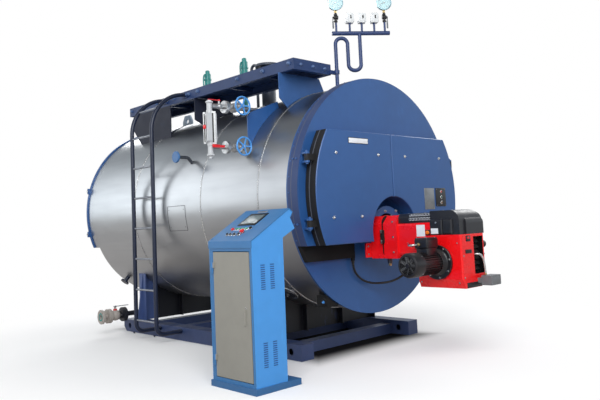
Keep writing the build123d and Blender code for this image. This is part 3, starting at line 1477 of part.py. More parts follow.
def desk_door():
    """Pale door of the desk with its pull and the upper halves of its hinges."""
    low, high = desk_door_range()
    face_x = DESK_FRONT_X - DESK_DOOR_PROUD
    door = block(
        (face_x, face_x + DESK_DOOR_SHEET), (low, high), (DESK_DOOR_BOTTOM_Z, DESK_DOOR_TOP_Z)
    )
    pull = block(
        (face_x - DESK_PULL_OUT, face_x), (low + 52, low + 66),
        (DESK_PULL_Z - DESK_PULL_HEIGHT / 2, DESK_PULL_Z + DESK_PULL_HEIGHT / 2),
    )
    door += fillet(pull.edges().filter_by(Axis.Z).sort_by(Axis.X)[:2], 4)
    axis = desk_hinge_axis()
    for height in desk_hinge_heights():
        door += desk_hinge_half(height, -1)
        door -= rod((*axis, height - 1), (*axis, height + DESK_KNUCKLE), DESK_PIN_RADIUS + PIN_GAP)
    return door


# Every piece by its node name

PIECES = {
    "skid_beams": skid_beams,
    "skid_cross_members": skid_cross_members,
    "saddles": saddles,
    "pressure_shell": pressure_shell,
    "jacket": jacket,
    "front_tube_plate": front_tube_plate,
    "front_smokebox": front_smokebox,
    "smokebox_front_plate": smokebox_front_plate,
    "smokebox_door_left": lambda: smokebox_door(-1),
    "smokebox_door_right": lambda: smokebox_door(1),
    "door_hinge_brackets": door_hinge_brackets,
    "rear_tube_plate": rear_tube_plate,
    "rear_smokebox": rear_smokebox,
    "rear_cover": rear_cover,
    "flue_outlet": flue_outlet,
    "burner_collar": burner_collar,
    "burner_head": burner_head,
    "burner_neck": burner_neck,
    "burner_fan_housing": burner_fan_housing,
    "burner_cover": burner_cover,
    "burner_motor": burner_motor,
    "damper_actuator": damper_actuator,
    "cable_duct": cable_duct,
    "burner_cable": burner_cable,
    "walkway_frame": walkway_frame,
    "walkway_deck": walkway_deck,
    "walkway_supports": walkway_supports,
    "shoulder_gusset": shoulder_gusset,
    "ladder_rails": ladder_rails,
    "ladder_rungs": ladder_rungs,
    "safety_valves": safety_valves,
    "steam_outlet": steam_outlet,
    "vent_pipe": vent_pipe,
    "lifting_lugs": lifting_lugs,
    "gauge_pipework": gauge_pipework,
    "pressure_switches": pressure_switches,
    "pressure_gauges": pressure_gauges,
    "gauge_cock_lever_left": lambda: gauge_cock_lever(0),
    "gauge_cock_lever_right": lambda: gauge_cock_lever(1),
    "level_valves": level_valves,
    "level_column": level_column,
    "level_handwheel_lower": lambda: level_handwheel(LEVEL_HEIGHTS[0]),
    "level_handwheel_upper": lambda: level_handwheel(LEVEL_HEIGHTS[1]),
    "level_cock_lever_lower": lambda: level_cock_lever(False),
    "level_cock_lever_upper": lambda: level_cock_lever(True),
    "side_nozzle": side_nozzle,
    "handhole": handhole,
    "drain_nozzle": drain_nozzle,
    "blowdown_line": blowdown_line,
    "blowdown_lever": blowdown_lever,
    "desk_plinth": desk_plinth,
    "desk_sides": desk_sides,
    "desk_back": desk_back,
    "desk_console": desk_console,
    "desk_front_frame": desk_front_frame,
    "desk_door": desk_door,
}

os.makedirs("parts", exist_ok=True)
for name, make in PIECES.items():
    export_step(make(), f"parts/{name}.step")
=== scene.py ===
"""Finishes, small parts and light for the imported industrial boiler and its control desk."""
import json
import logging
import math
from dataclasses import dataclass
from enum import Enum
from typing import Callable, Iterable, Optional, Sequence, Union

import bmesh
import bpy
from mathutils import Matrix, Vector


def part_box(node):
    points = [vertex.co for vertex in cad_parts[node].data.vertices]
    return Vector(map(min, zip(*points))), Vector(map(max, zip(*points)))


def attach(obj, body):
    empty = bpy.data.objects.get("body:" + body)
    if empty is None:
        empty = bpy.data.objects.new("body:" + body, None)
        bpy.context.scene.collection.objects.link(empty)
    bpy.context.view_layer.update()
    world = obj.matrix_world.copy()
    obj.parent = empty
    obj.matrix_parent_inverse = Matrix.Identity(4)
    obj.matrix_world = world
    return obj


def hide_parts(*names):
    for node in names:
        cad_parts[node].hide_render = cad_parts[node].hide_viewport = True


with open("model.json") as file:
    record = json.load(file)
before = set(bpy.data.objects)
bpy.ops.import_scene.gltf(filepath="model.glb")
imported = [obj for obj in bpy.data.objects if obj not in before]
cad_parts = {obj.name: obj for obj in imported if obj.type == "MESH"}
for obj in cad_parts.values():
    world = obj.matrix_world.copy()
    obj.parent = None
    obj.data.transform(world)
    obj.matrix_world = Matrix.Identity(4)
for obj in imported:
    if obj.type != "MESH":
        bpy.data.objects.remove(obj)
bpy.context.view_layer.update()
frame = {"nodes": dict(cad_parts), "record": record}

AXIS_Z = 1.429
MM = 0.001
SHARP_ANGLE = 34.0

LEFT, RIGHT = (-1, 0, 0), (1, 0, 0)
FRONT, BACK = (0, -1, 0), (0, 1, 0)
UP, DOWN = (0, 0, 1), (0, 0, -1)

Pair = tuple[float, float]
Triple = tuple[float, float, float]
Colour = Triple
Point = Sequence[float]
Shape = bmesh.types.BMesh

log = logging.getLogger("boiler")


class Body(Enum):
    """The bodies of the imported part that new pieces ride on."""

    BOILER = "boiler"
    DOOR_LEFT = "front_door_left"
    DOOR_RIGHT = "front_door_right"
    GAUGE_LEVER_LEFT = "gauge_lever_left"
    GAUGE_LEVER_RIGHT = "gauge_lever_right"
    LEVEL_LEVER_LOWER = "level_lever_lower"
    CABINET_DOOR = "cabinet_door"


class Slot(Enum):
    """The record's material slots, one of which each new piece keeps as its main slot."""

    BOILER_BLUE = "boiler_blue"
    SKID_BLUE = "skid_blue"
    STAINLESS = "stainless"
    RED = "burner_red"
    COVER = "burner_black"
    MOTOR = "motor_black"
    CABLE = "cable_black"
    LADDER = "ladder_blue"
    TEAL = "valve_teal"
    FITTING = "fitting_steel"
    PIPE = "pipe_dark"
    GAUGE = "gauge_steel"
    HANDLE_RED = "handle_red"
    SWITCH = "switch_white"
    ACTUATOR = "actuator_grey"
    DESK = "desk_blue"
    LID = "desk_lid_blue"
    DOOR_GREY = "desk_door_grey"


# Shader maths


class Wire:
    """A shader socket that Python's operators work on."""

    def __init__(self, graph: "Graph", socket: bpy.types.NodeSocket) -> None:
        """Keeps the socket and the graph that it belongs to."""
        self.graph = graph
        self.socket = socket

    def __add__(self, other: "Value") -> "Wire":
        """Sum."""
        return self.graph.maths("ADD", self, other)

    def __sub__(self, other: "Value") -> "Wire":
        """Difference."""
        return self.graph.maths("SUBTRACT", self, other)

    def __rsub__(self, other: "Value") -> "Wire":
        """Difference with the number first."""
        return self.graph.maths("SUBTRACT", other, self)

    def __mul__(self, other: "Value") -> "Wire":
        """Product."""
        return self.graph.maths("MULTIPLY", self, other)

    __radd__ = __add__
    __rmul__ = __mul__

    def __gt__(self, other: "Value") -> "Wire":
        """1 where this is greater, else 0."""
        return self.graph.maths("GREATER_THAN", self, other)

    def __lt__(self, other: "Value") -> "Wire":
        """1 where this is less, else 0."""
        return self.graph.maths("LESS_THAN", self, other)


Value = Union[Wire, float]


class Graph:
    """The nodes of one material or world, made by method calls."""

    def __init__(self, name: str, world: Optional[bpy.types.World] = None) -> None:
        """Empties a new material's nodes, or a world's.

        Args:
            name: The material's name.
            world: The world, if it isn't a material.
        """
        self.owner = world or bpy.data.materials.new(name)
        self.owner.use_nodes = True
        self.tree = self.owner.node_tree
        self.tree.nodes.clear()
        self._place: Optional[Wire] = None

    def feed(self, socket: bpy.types.NodeSocket, value: object) -> None:
        """Links a wire to a socket, or sets its value."""
        if isinstance(value, Wire):
            self.tree.links.new(value.socket, socket)
        elif isinstance(value, tuple) and len(value) == 3 and socket.type == "RGBA":
            socket.default_value = (*value, 1.0)
        else:
            socket.default_value = value

    def add(self, kind: str, settings: Optional[dict] = None, inputs: Optional[dict] = None,
            output: Union[int, str] = 0) -> Wire:
        """Makes one node.

        Args:
            kind: The node's type.
            settings: Its properties, which are set first.
            inputs: The values or wires of its sockets, by name or number.
            output: The socket that the wire comes from.

        Returns:
            The wire.
        """
        node = self.tree.nodes.new(kind)
        for key, value in (settings or {}).items():
            setattr(node, key, value)
        for key, value in (inputs or {}).items():
            self.feed(node.inputs[key], value)
        return Wire(self, node.outputs[output])

    def maths(self, operation: str, first: Value, second: Value = 0.0) -> Wire:
        """One Math node."""
        return self.add("ShaderNodeMath", {"operation": operation}, {0: first, 1: second})

    def place(self) -> Wire:
        """The Object coordinates."""
        if self._place is None:
            self._place = self.add("ShaderNodeTexCoord", output="Object")
        return self._place

    def axis(self, name: str) -> Wire:
        """One Object coordinate, X, Y or Z."""
        return self.add("ShaderNodeSeparateXYZ", None, {0: self.place()}, name)

    def noise(self, scale: float, detail: float = 3.0, stretch: Point = (1.0, 1.0, 1.0),
              roughness: float = 0.55) -> Wire:
        """Noise on Object coordinates.

        Args:
            scale: Cells a metre.
            detail: Octaves.
            stretch: How much finer it is along each axis.
            roughness: The share of the fine octaves.

        Returns:
            The noise from 0 to 1.
        """
        mapped = self.add("ShaderNodeMapping", None, {"Vector": self.place(), "Scale": tuple(stretch)})
        inputs = {"Vector": mapped, "Scale": scale, "Detail": detail, "Roughness": roughness}
        return self.add("ShaderNodeTexNoise", None, inputs)

    def ease(self, value: Value, low: float, high: float) -> Wire:
        """0 below low, 1 above high, and smooth between them."""
        settings = {"interpolation_type": "SMOOTHSTEP"}
        inputs = {"Value": value, "From Min": low, "From Max": high}
        return self.add("ShaderNodeMapRange", settings, inputs)

    def mix(self, share: Value, first: object, second: object) -> Wire:
        """A mix of two colours.

        Args:
            share: How much of the second colour.
            first: A colour or wire.
            second: A colour or wire.

        Returns:
            The colour.
        """
        inputs = {0: share, 6: first, 7: second}
        return self.add("ShaderNodeMix", {"data_type": "RGBA"}, inputs, 2)

    def soft_edge(self, radius: float) -> Wire:
        """The normal with sharp edges rounded to a radius."""
        return self.add("ShaderNodeBevel", {"samples": 4}, {"Radius": radius})

    def edges(self, rounded: Wire, low: float = 0.004, high: float = 0.09) -> Wire:
        """1 on sharp edges, from how far the rounded normal leaves the true one."""
        true = self.add("ShaderNodeNewGeometry", output="Normal")
        dot = self.add("ShaderNodeVectorMath", {"operation": "DOT_PRODUCT"}, {0: rounded, 1: true}, 1)
        return self.ease(1.0 - dot, low, high)

    def bump(self, height: Value, strength: float, distance: float, normal: Optional[Wire] = None) -> Wire:
        """A normal from a height.

        Args:
            height: The height, 0 to 1.
            strength: How strong it is.
            distance: The depth in metres.
            normal: The normal under it.

        Returns:
            The normal.
        """
        inputs = {"Height": height, "Strength": strength, "Distance": distance}
        if normal is not None:
            inputs["Normal"] = normal
        return self.add("ShaderNodeBump", None, inputs)

    def surface(self, **sockets: object) -> bpy.types.Material:
        """Ends the material with one shader.

        Args:
            sockets: Values or wires of the shader's sockets, with _ for a space.

        Returns:
            The material.
        """
        inputs = {name.replace("_", " "): value for name, value in sockets.items()}
        self.end(self.add("ShaderNodeBsdfPrincipled", None, inputs))
        return self.owner

    def either(self, share: Value, first: Wire, second: Wire) -> Wire:
        """A mix of two shaders."""
        return self.add("ShaderNodeMixShader", None, {0: share, 1: first, 2: second})

    def ray(self, kind: str) -> Wire:
        """1 for rays of one kind."""
        return self.add("ShaderNodeLightPath", output=f"Is {kind} Ray")

    def end(self, shader: Wire, kind: str = "ShaderNodeOutputMaterial") -> None:
        """Links a shader to the output."""
        self.feed(self.tree.nodes.new(kind).inputs["Surface"], shader)


def shade(colour: Colour, factor: float) -> Colour:
    """A colour made lighter or darker."""
    return tuple(min(1.0, part * factor) for part in colour)


def srgb(red: int, green: int, blue: int) -> Colour:
    """A colour given as it looks on a screen, in the shader's own scale."""
    parts = (part / 255 for part in (red, green, blue))
    return tuple(p / 12.92 if p <= 0.04045 else ((p + 0.055) / 1.055) ** 2.4 for p in parts)


# Finishes

_made: dict["Finish", bpy.types.Material] = {}


@dataclass(frozen=True)
class Finish:
    """What a surface is made of and how it is finished."""

    name: str
    colour: Colour

    def material(self) -> bpy.types.Material:
        """The finish's material, made once."""
        if self not in _made:
            _made[self] = self.build(Graph(self.name))
        return _made[self]

    def build(self, graph: Graph) -> bpy.types.Material:
        """Makes the material. Each kind of finish has its own."""
        raise NotImplementedError


@dataclass(frozen=True)
class Enamel(Finish):
    """Paint with orange peel, uneven tone and gloss, light scratches and worn edges."""

    gloss: float = 0.32
    peel: float = 0.12
    mottle: float = 0.1
    wear: float = 0.25
    dust: float = 0.06
    round_edge: float = 2.5 * MM
    coat: float = 0.0

    def tone(self, graph: Graph) -> Wire:
        """The paint's uneven colour before wear."""
        patches = graph.noise(1.7, 4.0) * 0.6 + graph.noise(11.0, 3.0) * 0.4
        share = graph.ease(patches, 0.3, 0.7)
        return graph.mix(share, shade(self.colour, 1 - self.mottle), shade(self.colour, 1 + self.mottle))

    def dulling(self, graph: Graph) -> Value:
        """How much rougher the paint is, place by place."""
        return 0.0

    def build(self, graph: Graph) -> bpy.types.Material:
        """Makes the material from tone, dust, scratches, chips and orange peel."""
        rounded = graph.soft_edge(self.round_edge)
        base = self.tone(graph)
        normal = graph.add("ShaderNodeNewGeometry", output="Normal")
        upward = graph.add("ShaderNodeSeparateXYZ", None, {0: normal}, "Z")
        settled = graph.ease(upward, 0.3, 0.95) * graph.ease(graph.noise(5.0, 4.0), 0.3, 0.8)
        base = graph.mix(settled * (self.dust * 4), base, srgb(150, 146, 138))
        streak = graph.noise(26.0, 2.0, (1.0, 9.0, 0.25)) * graph.noise(3.0, 2.0)
        rubbed = graph.ease(streak, 0.37, 0.47)
        base = graph.mix(rubbed * 0.16, base, shade(self.colour, 1.7))
        chips = graph.edges(rounded) * graph.ease(graph.noise(38.0, 4.0), 0.42, 0.66) * self.wear
        base = graph.mix(chips, base, srgb(150, 150, 155))
        rough = graph.noise(7.0, 4.0) * 0.16 + (self.gloss - 0.08) + chips * 0.2 + settled * self.dust
        height = graph.noise(420.0, 2.0) * 0.5 + graph.noise(30.0, 2.0)
        rough += self.dulling(graph)
        normal = graph.bump(height, self.peel, 0.6 * MM, rounded)
        return graph.surface(Base_Color=base, Roughness=rough, Metallic=0.0, Normal=normal,
                             Coat_Weight=self.coat, Coat_Roughness=0.12, Specular_IOR_Level=0.5)


@dataclass(frozen=True)
class DoorEnamel(Enamel):
    """The boiler's paint on round plates whose round sides are darkened as painted shade, with a pale line on
    them.
    """

    # Painted shade: the colour of the round side.
    side: Colour = (0.005, 0.005, 0.006)
    side_radius: float = 1.0085
    side_front: float = -2.006
    line: Pair = (-1.937, -1.927)
    dull: float = 0.4

    def round_side(self, graph: Graph) -> Wire:
        """1 on the round side, behind the face."""
        x = graph.axis("X")
        z = graph.axis("Z") - AXIS_Z
        side = graph.ease(graph.maths("SQRT", x * x + z * z), self.side_radius, self.side_radius + 0.002)
        return side * (graph.axis("Y") > self.side_front)

    def dulling(self, graph: Graph) -> Wire:
        """The round side is duller than the face."""
        return self.round_side(graph) * self.dull

    def tone(self, graph: Graph) -> Wire:
        """Blue face, round side darkened as painted shade, and its pale line."""
        side = self.round_side(graph)
        y = graph.axis("Y")
        dark = graph.mix(side, super().tone(graph), self.side)
        return graph.mix(side * (y > self.line[0]) * (y < self.line[1]), dark, srgb(86, 90, 100))


@dataclass(frozen=True)
class TwoTone(Enamel):
    """Paint that changes to a second colour beyond a plane. On some parts the second colour is real paint, on
    others it is painted shade.
    """

    second: Colour = (0.02, 0.03, 0.08)
    along: str = "Y"
    plane: float = 0.0

    def tone(self, graph: Graph) -> Wire:
        """The first colour below the plane and the second above it."""
        return graph.mix(graph.axis(self.along) > self.plane, super().tone(graph), self.second)


@dataclass(frozen=True)
class BoxedEnamel(Enamel):
    """Paint that is black inside a box: painted shade in a recess."""

    low: Triple = (-0.041, -2.8372, 0.719)
    high: Triple = (0.104, -2.700, 1.027)

    def tone(self, graph: Graph) -> Wire:
        """The paint, and painted shade, black, in the box."""
        inside = graph.maths("ADD", 1.0, 0.0)
        for name, low, high in zip("XYZ", self.low, self.high):
            place = graph.axis(name)
            inside = inside * (place > low) * (place < high)
        return graph.mix(inside, super().tone(graph), srgb(13, 13, 15))


@dataclass(frozen=True)
class Rolled(Finish):
    """Bright stainless sheet rolled round the shell, with dents, drawn grain, painted shade on its top and
    front end, and a painted reflection of a dark floor on its underside.
    """

    seams: tuple[float, ...] = (-1.331, -0.451, 0.847)
    dirt_and_reflection: Colour = (0.17, 0.145, 0.125)

    def build(self, graph: Graph) -> bpy.types.Material:
        """Makes the material with a tone for each course of sheet."""
        y = graph.axis("Y")
        z = graph.axis("Z")
        tone = graph.noise(1.5, 3.0, (1.0, 1.0, 0.6)) * 0.08
        for index, seam in enumerate(self.seams):
            tone += (y > seam) * (0.025 if index % 2 else -0.025)
        drawn = graph.noise(3.0, 4.0, (1.0, 110.0, 1.0))
        course = graph.ease(tone + drawn * 0.07, -0.02, 0.18)
        base = graph.mix(course, shade(self.colour, 0.9), shade(self.colour, 1.04))
        # Painted reflection: the underside, most at the front, is tinted dark brown as if it mirrored a dark
        # floor.
        low = 1.0 - graph.ease(z + graph.noise(1.1, 3.0) * 0.22, 0.85, 1.5)
        front = 1.0 - graph.ease(y, -1.2, 1.4) * 0.55
        base = graph.mix(low * front * 0.6, base, self.dirt_and_reflection)
        # Painted shade: the top of the sheet is made greyer and darker.
        base = graph.mix(graph.ease(z, 1.9, 2.45) * 0.3, base, srgb(118, 118, 118))
        smears = graph.ease(graph.noise(3.5, 4.0, (1.0, 0.4, 2.0)), 0.45, 0.75)
        rough = drawn * 0.07 + smears * 0.06 + 0.27 + low * 0.06
        # Painted shade: the sheet is made darker towards its front end.
        base = graph.mix((1.0 - graph.ease(y, -1.7, 0.9)) * 0.62, base, (0.28, 0.285, 0.3))
        streaks = graph.ease(graph.noise(2.3, 5.0, (0.8, 0.22, 2.6), 0.62), 0.44, 0.66)
        base = graph.mix(streaks * 0.16, base, (0.26, 0.27, 0.3))
        sheet = graph.bump(graph.noise(2.1, 2.5, (1.0, 1.3, 1.0)), 0.36, 7 * MM, graph.soft_edge(2 * MM))
        fine = graph.bump(drawn, 0.05, 0.4 * MM, sheet)
        return graph.surface(Base_Color=base, Roughness=rough, Metallic=1.0, Normal=fine)


@dataclass(frozen=True)
class Metal(Finish):
    """Bare metal, turned, drawn or cast."""

    rough: float = 0.3
    grain: float = 0.1
    scale: float = 60.0
    stain: float = 0.2

    def build(self, graph: Graph) -> bpy.types.Material:
        """Makes the material with stains, uneven gloss and fine grain."""
        rounded = graph.soft_edge(1.0 * MM)
        marks = graph.ease(graph.noise(self.scale * 0.4, 4.0), 0.35, 0.7)
        base = graph.mix(marks * self.stain, self.colour, shade(self.colour, 0.45))
        bright = graph.edges(rounded) * 0.5
        base = graph.mix(bright, base, shade(self.colour, 1.25))
        rough = graph.noise(self.scale, 3.0) * 0.2 + (self.rough - 0.1) + marks * 0.08
        normal = graph.bump(graph.noise(self.scale * 6, 3.0), self.grain, 0.4 * MM, rounded)
        return graph.surface(Base_Color=base, Roughness=rough, Metallic=1.0, Normal=normal)


@dataclass(frozen=True)
class Plastic(Finish):
    """Moulded plastic with a fine grain."""

    gloss: float = 0.42
    grain: float = 0.15
    round_edge: float = 1.5 * MM

    def build(self, graph: Graph) -> bpy.types.Material:
        """Makes the material with moulding grain, greasy patches and pale edges."""
        rounded = graph.soft_edge(self.round_edge)
        patches = graph.ease(graph.noise(14.0, 4.0), 0.35, 0.7)
        base = graph.mix(patches * 0.3, self.colour, shade(self.colour, 1.3))
        base = graph.mix(graph.edges(rounded) * 0.25, base, shade(self.colour, 2.2))
        rough = patches * 0.1 + (self.gloss - 0.05)
        normal = graph.bump(graph.noise(900.0, 2.0), self.grain, 0.25 * MM, rounded)
        return graph.surface(Base_Color=base, Roughness=rough, Metallic=0.0, Normal=normal)


@dataclass(frozen=True)
class Rubber(Finish):
    """Sheath or seal rubber, dull and a little dusty."""

    def build(self, graph: Graph) -> bpy.types.Material:
        """Makes the material with dust and faint scuffs."""
        dust = graph.ease(graph.noise(22.0, 5.0), 0.4, 0.75)
        base = graph.mix(dust * 0.15, self.colour, srgb(64, 62, 60))
        normal = graph.bump(graph.noise(260.0, 3.0), 0.2, 0.4 * MM)
        return graph.surface(Base_Color=base, Roughness=dust * 0.15 + 0.5, Metallic=0.0, Normal=normal)


@dataclass(frozen=True)
class Glass(Finish):
    """Thin clear glass or acrylic over a dial, tube or screen."""

    clear: float = 0.16

    def build(self, graph: Graph) -> bpy.types.Material:
        """Makes the material with a faint film of dust."""
        film = graph.ease(graph.noise(30.0, 4.0), 0.45, 0.8)
        return graph.surface(Base_Color=self.colour, Roughness=film * 0.06 + 0.03, Specular_IOR_Level=0.8,
                             Alpha=film * 0.06 + self.clear)


@dataclass(frozen=True)
class Print(Finish):
    """A flat printed or enamelled face, such as a dial or a bare plate."""

    gloss: float = 0.4

    def build(self, graph: Graph) -> bpy.types.Material:
        """Makes the material with slight yellowing and dust."""
        dirt_and_reflection = graph.ease(graph.noise(18.0, 5.0), 0.4, 0.8)
        base = graph.mix(dirt_and_reflection * 0.3, self.colour, shade(self.colour, 0.78))
        normal = graph.bump(graph.noise(500.0, 2.0), 0.05, 0.2 * MM)
        return graph.surface(Base_Color=base, Roughness=dirt_and_reflection * 0.12 + (self.gloss - 0.06), Normal=normal)


@dataclass(frozen=True)
class Lens(Finish):
    """A coloured lamp lens, faintly lit."""

    light: float = 0.25

    def build(self, graph: Graph) -> bpy.types.Material:
        """Makes the material with a paler middle and a glossy coat."""
        cells = graph.ease(graph.noise(300.0, 1.0), 0.4, 0.7)
        base = graph.mix(cells * 0.3, self.colour, shade(self.colour, 1.5))
        return graph.surface(Base_Color=base, Roughness=cells * 0.05 + 0.12, Coat_Weight=0.6,
                             Emission_Color=base, Emission_Strength=self.light)


# Shapes


def mm(*sizes: Union[float, Point]) -> tuple:
    """Sizes or points given in millimetres, in metres."""
    return tuple(mm(*size) if isinstance(size, tuple) else size * MM for size in sizes)


def placed(origin: Point, axis: Point = (0, 0, 1), up: Point = (0, 0, 1)) -> Matrix:
    """A place whose local Z lies along an axis.

    Args:
        origin: Where local zero comes.
        axis: The direction of local Z.
        up: The direction that local Y leans to.

    Returns:
        The matrix.
    """
    out = Vector(axis).normalized()
    top = Vector(up)
    if abs(out.dot(top.normalized())) > 0.999:
        top = Vector((0, 1, 0))
    side = top.cross(out).normalized()
    rows = Matrix((side, out.cross(side), out)).transposed().to_4x4()
    return Matrix.Translation(Vector(origin)) @ rows


def shifted(place: Matrix, x: float = 0.0, y: float = 0.0, z: float = 0.0) -> Matrix:
    """A place moved along its own axes by millimetres."""
    return place @ Matrix.Translation(mm(x, y, z))


def spun(place: Matrix, angle: float, axis: str = "Z") -> Matrix:
    """A place turned about one of its own axes."""
    return place @ Matrix.Rotation(angle, 4, axis)


def spokes(place: Matrix, count: int) -> list[Matrix]:
    """Places turned evenly about a place's own axis."""
    return [spun(place, math.tau * step / count) for step in range(count)]


def corners(place: Matrix, x: float, y: float, out: float = 0.0) -> list[Matrix]:
    """The corners of a rectangle about a place, from half its sides in millimetres."""
    return [shifted(place, side * x, end * y, out) for side in (-1, 1) for end in (-1, 1)]


def round_axis(radius: float, y: float, angle: float) -> Matrix:
    """A place round the boiler's axis, facing outwards, at degrees from the right side over the top."""
    ray = Vector((math.cos(math.radians(angle)), 0, math.sin(math.radians(angle))))
    return placed(Vector((0, y, AXIS_Z)) + ray * radius, ray, BACK)


def fan(first: float, sweep: float, count: int) -> list[float]:
    """Even angles over a sweep."""
    return [first + sweep * step / (count - 1) for step in range(count)]


def upright(y: float, z: float = 0.0) -> Matrix:
    """A place on the middle plane whose local X is to the right and local Y is up."""
    return spun(Matrix.Translation((0, y, z)), math.pi / 2, "X")


def half_width(radius: float, z: float) -> float:
    """How far to the side a circle round the boiler's axis is at a height."""
    return math.sqrt(radius ** 2 - (z - AXIS_Z) ** 2)


def moved(shape: Shape, place: Matrix) -> Shape:
    """The shape at a place."""
    bmesh.ops.transform(shape, matrix=place, verts=shape.verts)
    return shape


def closed(shape: Shape, merge: float = 1e-6) -> Shape:
    """The shape with its doubles merged and its faces outwards.

    Args:
        shape: The shape, changed in place.
        merge: How near two points are one.

    Returns:
        The same shape.
    """
    bmesh.ops.remove_doubles(shape, verts=shape.verts, dist=merge)
    bmesh.ops.recalc_face_normals(shape, faces=shape.faces)
    return shape


def pour(shape: Shape, whole: Shape) -> None:
    """Adds a shape to another and frees it.

    Args:
        shape: The shape to add.
        whole: The shape that it goes into.
    """
    data = bpy.data.meshes.new("part")
    shape.to_mesh(data)
    shape.free()
    whole.from_mesh(data)
    bpy.data.meshes.remove(data)


def joined(*shapes: Shape) -> Shape:
    """One shape from several. The parts are freed."""
    whole = bmesh.new()
    for shape in shapes:
        pour(shape, whole)
    return whole


def linked(name: str, data: bpy.types.ID) -> bpy.types.Object:
    """A new object in the scene.

    Args:
        name: Its name.
        data: Its mesh, curve, light or camera.

    Returns:
        The object.
    """
    item = bpy.data.objects.new(name, data)
    bpy.context.scene.collection.objects.link(item)
    return item


def shape_of(curve: bpy.types.Curve, merge: float = 1e-6) -> Shape:
    """The closed shape of a curve or text, which is removed.

    Args:
        curve: The curve or text.
        merge: How near two points are one.

    Returns:
        The shape.
    """
    item = linked(curve.name, curve)
    bpy.context.view_layer.update()
    data = bpy.data.meshes.new_from_object(item)
    shape = bmesh.new()
    shape.from_mesh(data)
    bpy.data.objects.remove(item)
    bpy.data.meshes.remove(data)
    bpy.data.curves.remove(curve)
    return closed(shape, merge)


def softened(shape: Shape, radius: float, segments: int = 2, angle: float = 30.0) -> Shape:
    """The shape with its sharp edges rounded.

    Args:
        shape: The shape.
        radius: The rounding in metres.
        segments: Steps in it.
        angle: Edges that turn by more than this are sharp.

    Returns:
        The shape.
    """
    limit = math.radians(angle)
    sharp = [e for e in shape.edges if len(e.link_faces) == 2 and e.calc_face_angle() > limit]
    if radius > 0 and sharp:
        bmesh.ops.bevel(shape, geom=sharp, offset=radius, segments=segments, affect="EDGES", profile=0.5,
                        material=-1, clamp_overlap=True)
    return shape


def slab(place: Matrix, size: Point, round_edge: float = 1.0 * MM, segments: int = 2) -> Shape:
    """A block with rounded edges, centred on its place.

    Args:
        place: Its middle.
        size: Its length along local X, Y and Z.
        round_edge: The rounding.
        segments: Steps in the rounding.

    Returns:
        The shape.
    """
    shape = bmesh.new()
    scale = Matrix.Diagonal((*size, 1.0))
    bmesh.ops.create_cube(shape, size=1.0, matrix=scale)
    softened(shape, min(round_edge, min(size) * 0.45), segments)
    return moved(shape, place)


def bar(low: Point, high: Point, round_edge: float = 1.0 * MM, segments: int = 2) -> Shape:
    """A block between two corners of the frame."""
    size = [high[i] - low[i] for i in range(3)]
    middle = [(high[i] + low[i]) / 2 for i in range(3)]
    return slab(Matrix.Translation(Vector(middle)), size, round_edge, segments)


def rod(start: Point, end: Point, radius: float, end_radius: Optional[float] = None, sides: int = 24,
        round_edge: float = 0.0) -> Shape:
    """A round bar or cone between two points.

    Args:
        start: Its first end.
        end: Its other end.
        radius: Its radius at the start.
        end_radius: Its radius at the end, if another.
        sides: How many sides it has.
        round_edge: The rounding of its ends.

    Returns:
        The shape.
    """
    first, last = Vector(start), Vector(end)
    length = (last - first).length
    shape = bmesh.new()
    tip = radius if end_radius is None else end_radius
    bmesh.ops.create_cone(shape, cap_ends=True, segments=sides, radius1=radius, radius2=tip, depth=length)
    if round_edge:
        softened(shape, round_edge, 2, 50.0)
    return moved(shape, placed((first + last) / 2, last - first))


def turned(place: Matrix, profile: Iterable[Point], sides: int = 32) -> Shape:
    """A turned shape.

    Args:
        place: Its origin and axis, along local Z.
        profile: Radius and height of each point of the profile.
        sides: Steps round it.

    Returns:
        The shape.
    """
    shape = bmesh.new()
    verts = [shape.verts.new((radius, 0, height)) for radius, height in profile]
    edges = [shape.edges.new(pair) for pair in zip(verts, verts[1:])]
    bmesh.ops.spin(shape, geom=verts + edges, cent=(0, 0, 0), axis=(0, 0, 1), angle=math.tau, steps=sides,
                   use_merge=True)
    return moved(closed(shape), place)


def ring(place: Matrix, radius: float, wire: float, sides: int = 48, wire_sides: int = 8,
         angle: float = math.tau, start: float = 0.0) -> Shape:
    """A ring of round wire, whole or part of one.

    Args:
        place: Its middle and axis.
        radius: Its middle radius.
        wire: The wire's radius.
        sides: Steps round it.
        wire_sides: Steps round the wire.
        angle: How far it goes round.
        start: The angle at which it starts.

    Returns:
        The shape.
    """
    shape = bmesh.new()
    whole = angle >= math.tau - 1e-6
    first = spun(Matrix.Rotation(start, 4, "Z") @ Matrix.Translation((radius, 0, 0)), math.pi / 2, "X")
    bmesh.ops.create_circle(shape, cap_ends=not whole, segments=wire_sides, radius=wire, matrix=first)
    geometry = list(shape.verts) + list(shape.edges) + list(shape.faces)
    made = bmesh.ops.spin(shape, geom=geometry, cent=(0, 0, 0), axis=(0, 0, 1), angle=angle, steps=sides,
                          use_merge=whole)
    if not whole:
        ends = [item for item in made["geom_last"] if isinstance(item, bmesh.types.BMFace)]
        if not ends:
            edges = [item for item in made["geom_last"] if isinstance(item, bmesh.types.BMEdge)]
            bmesh.ops.contextual_create(shape, geom=edges)
    return moved(closed(shape), place)


def prism(place: Matrix, outline: Iterable[Point], depth: float) -> Shape:
    """A flat outline given a thickness along local Z.

    Args:
        place: Its origin, outline in local X and Y.
        outline: The outline's corners.
        depth: The thickness.

    Returns:
        The shape.
    """
    shape = bmesh.new()
    face = shape.faces.new([shape.verts.new((x, y, 0)) for x, y in outline])
    made = bmesh.ops.extrude_face_region(shape, geom=[face])
    risen = [item for item in made["geom"] if isinstance(item, bmesh.types.BMVert)]
    bmesh.ops.translate(shape, vec=(0, 0, depth), verts=risen)
    bmesh.ops.recalc_face_normals(shape, faces=shape.faces)
    return moved(shape, place)


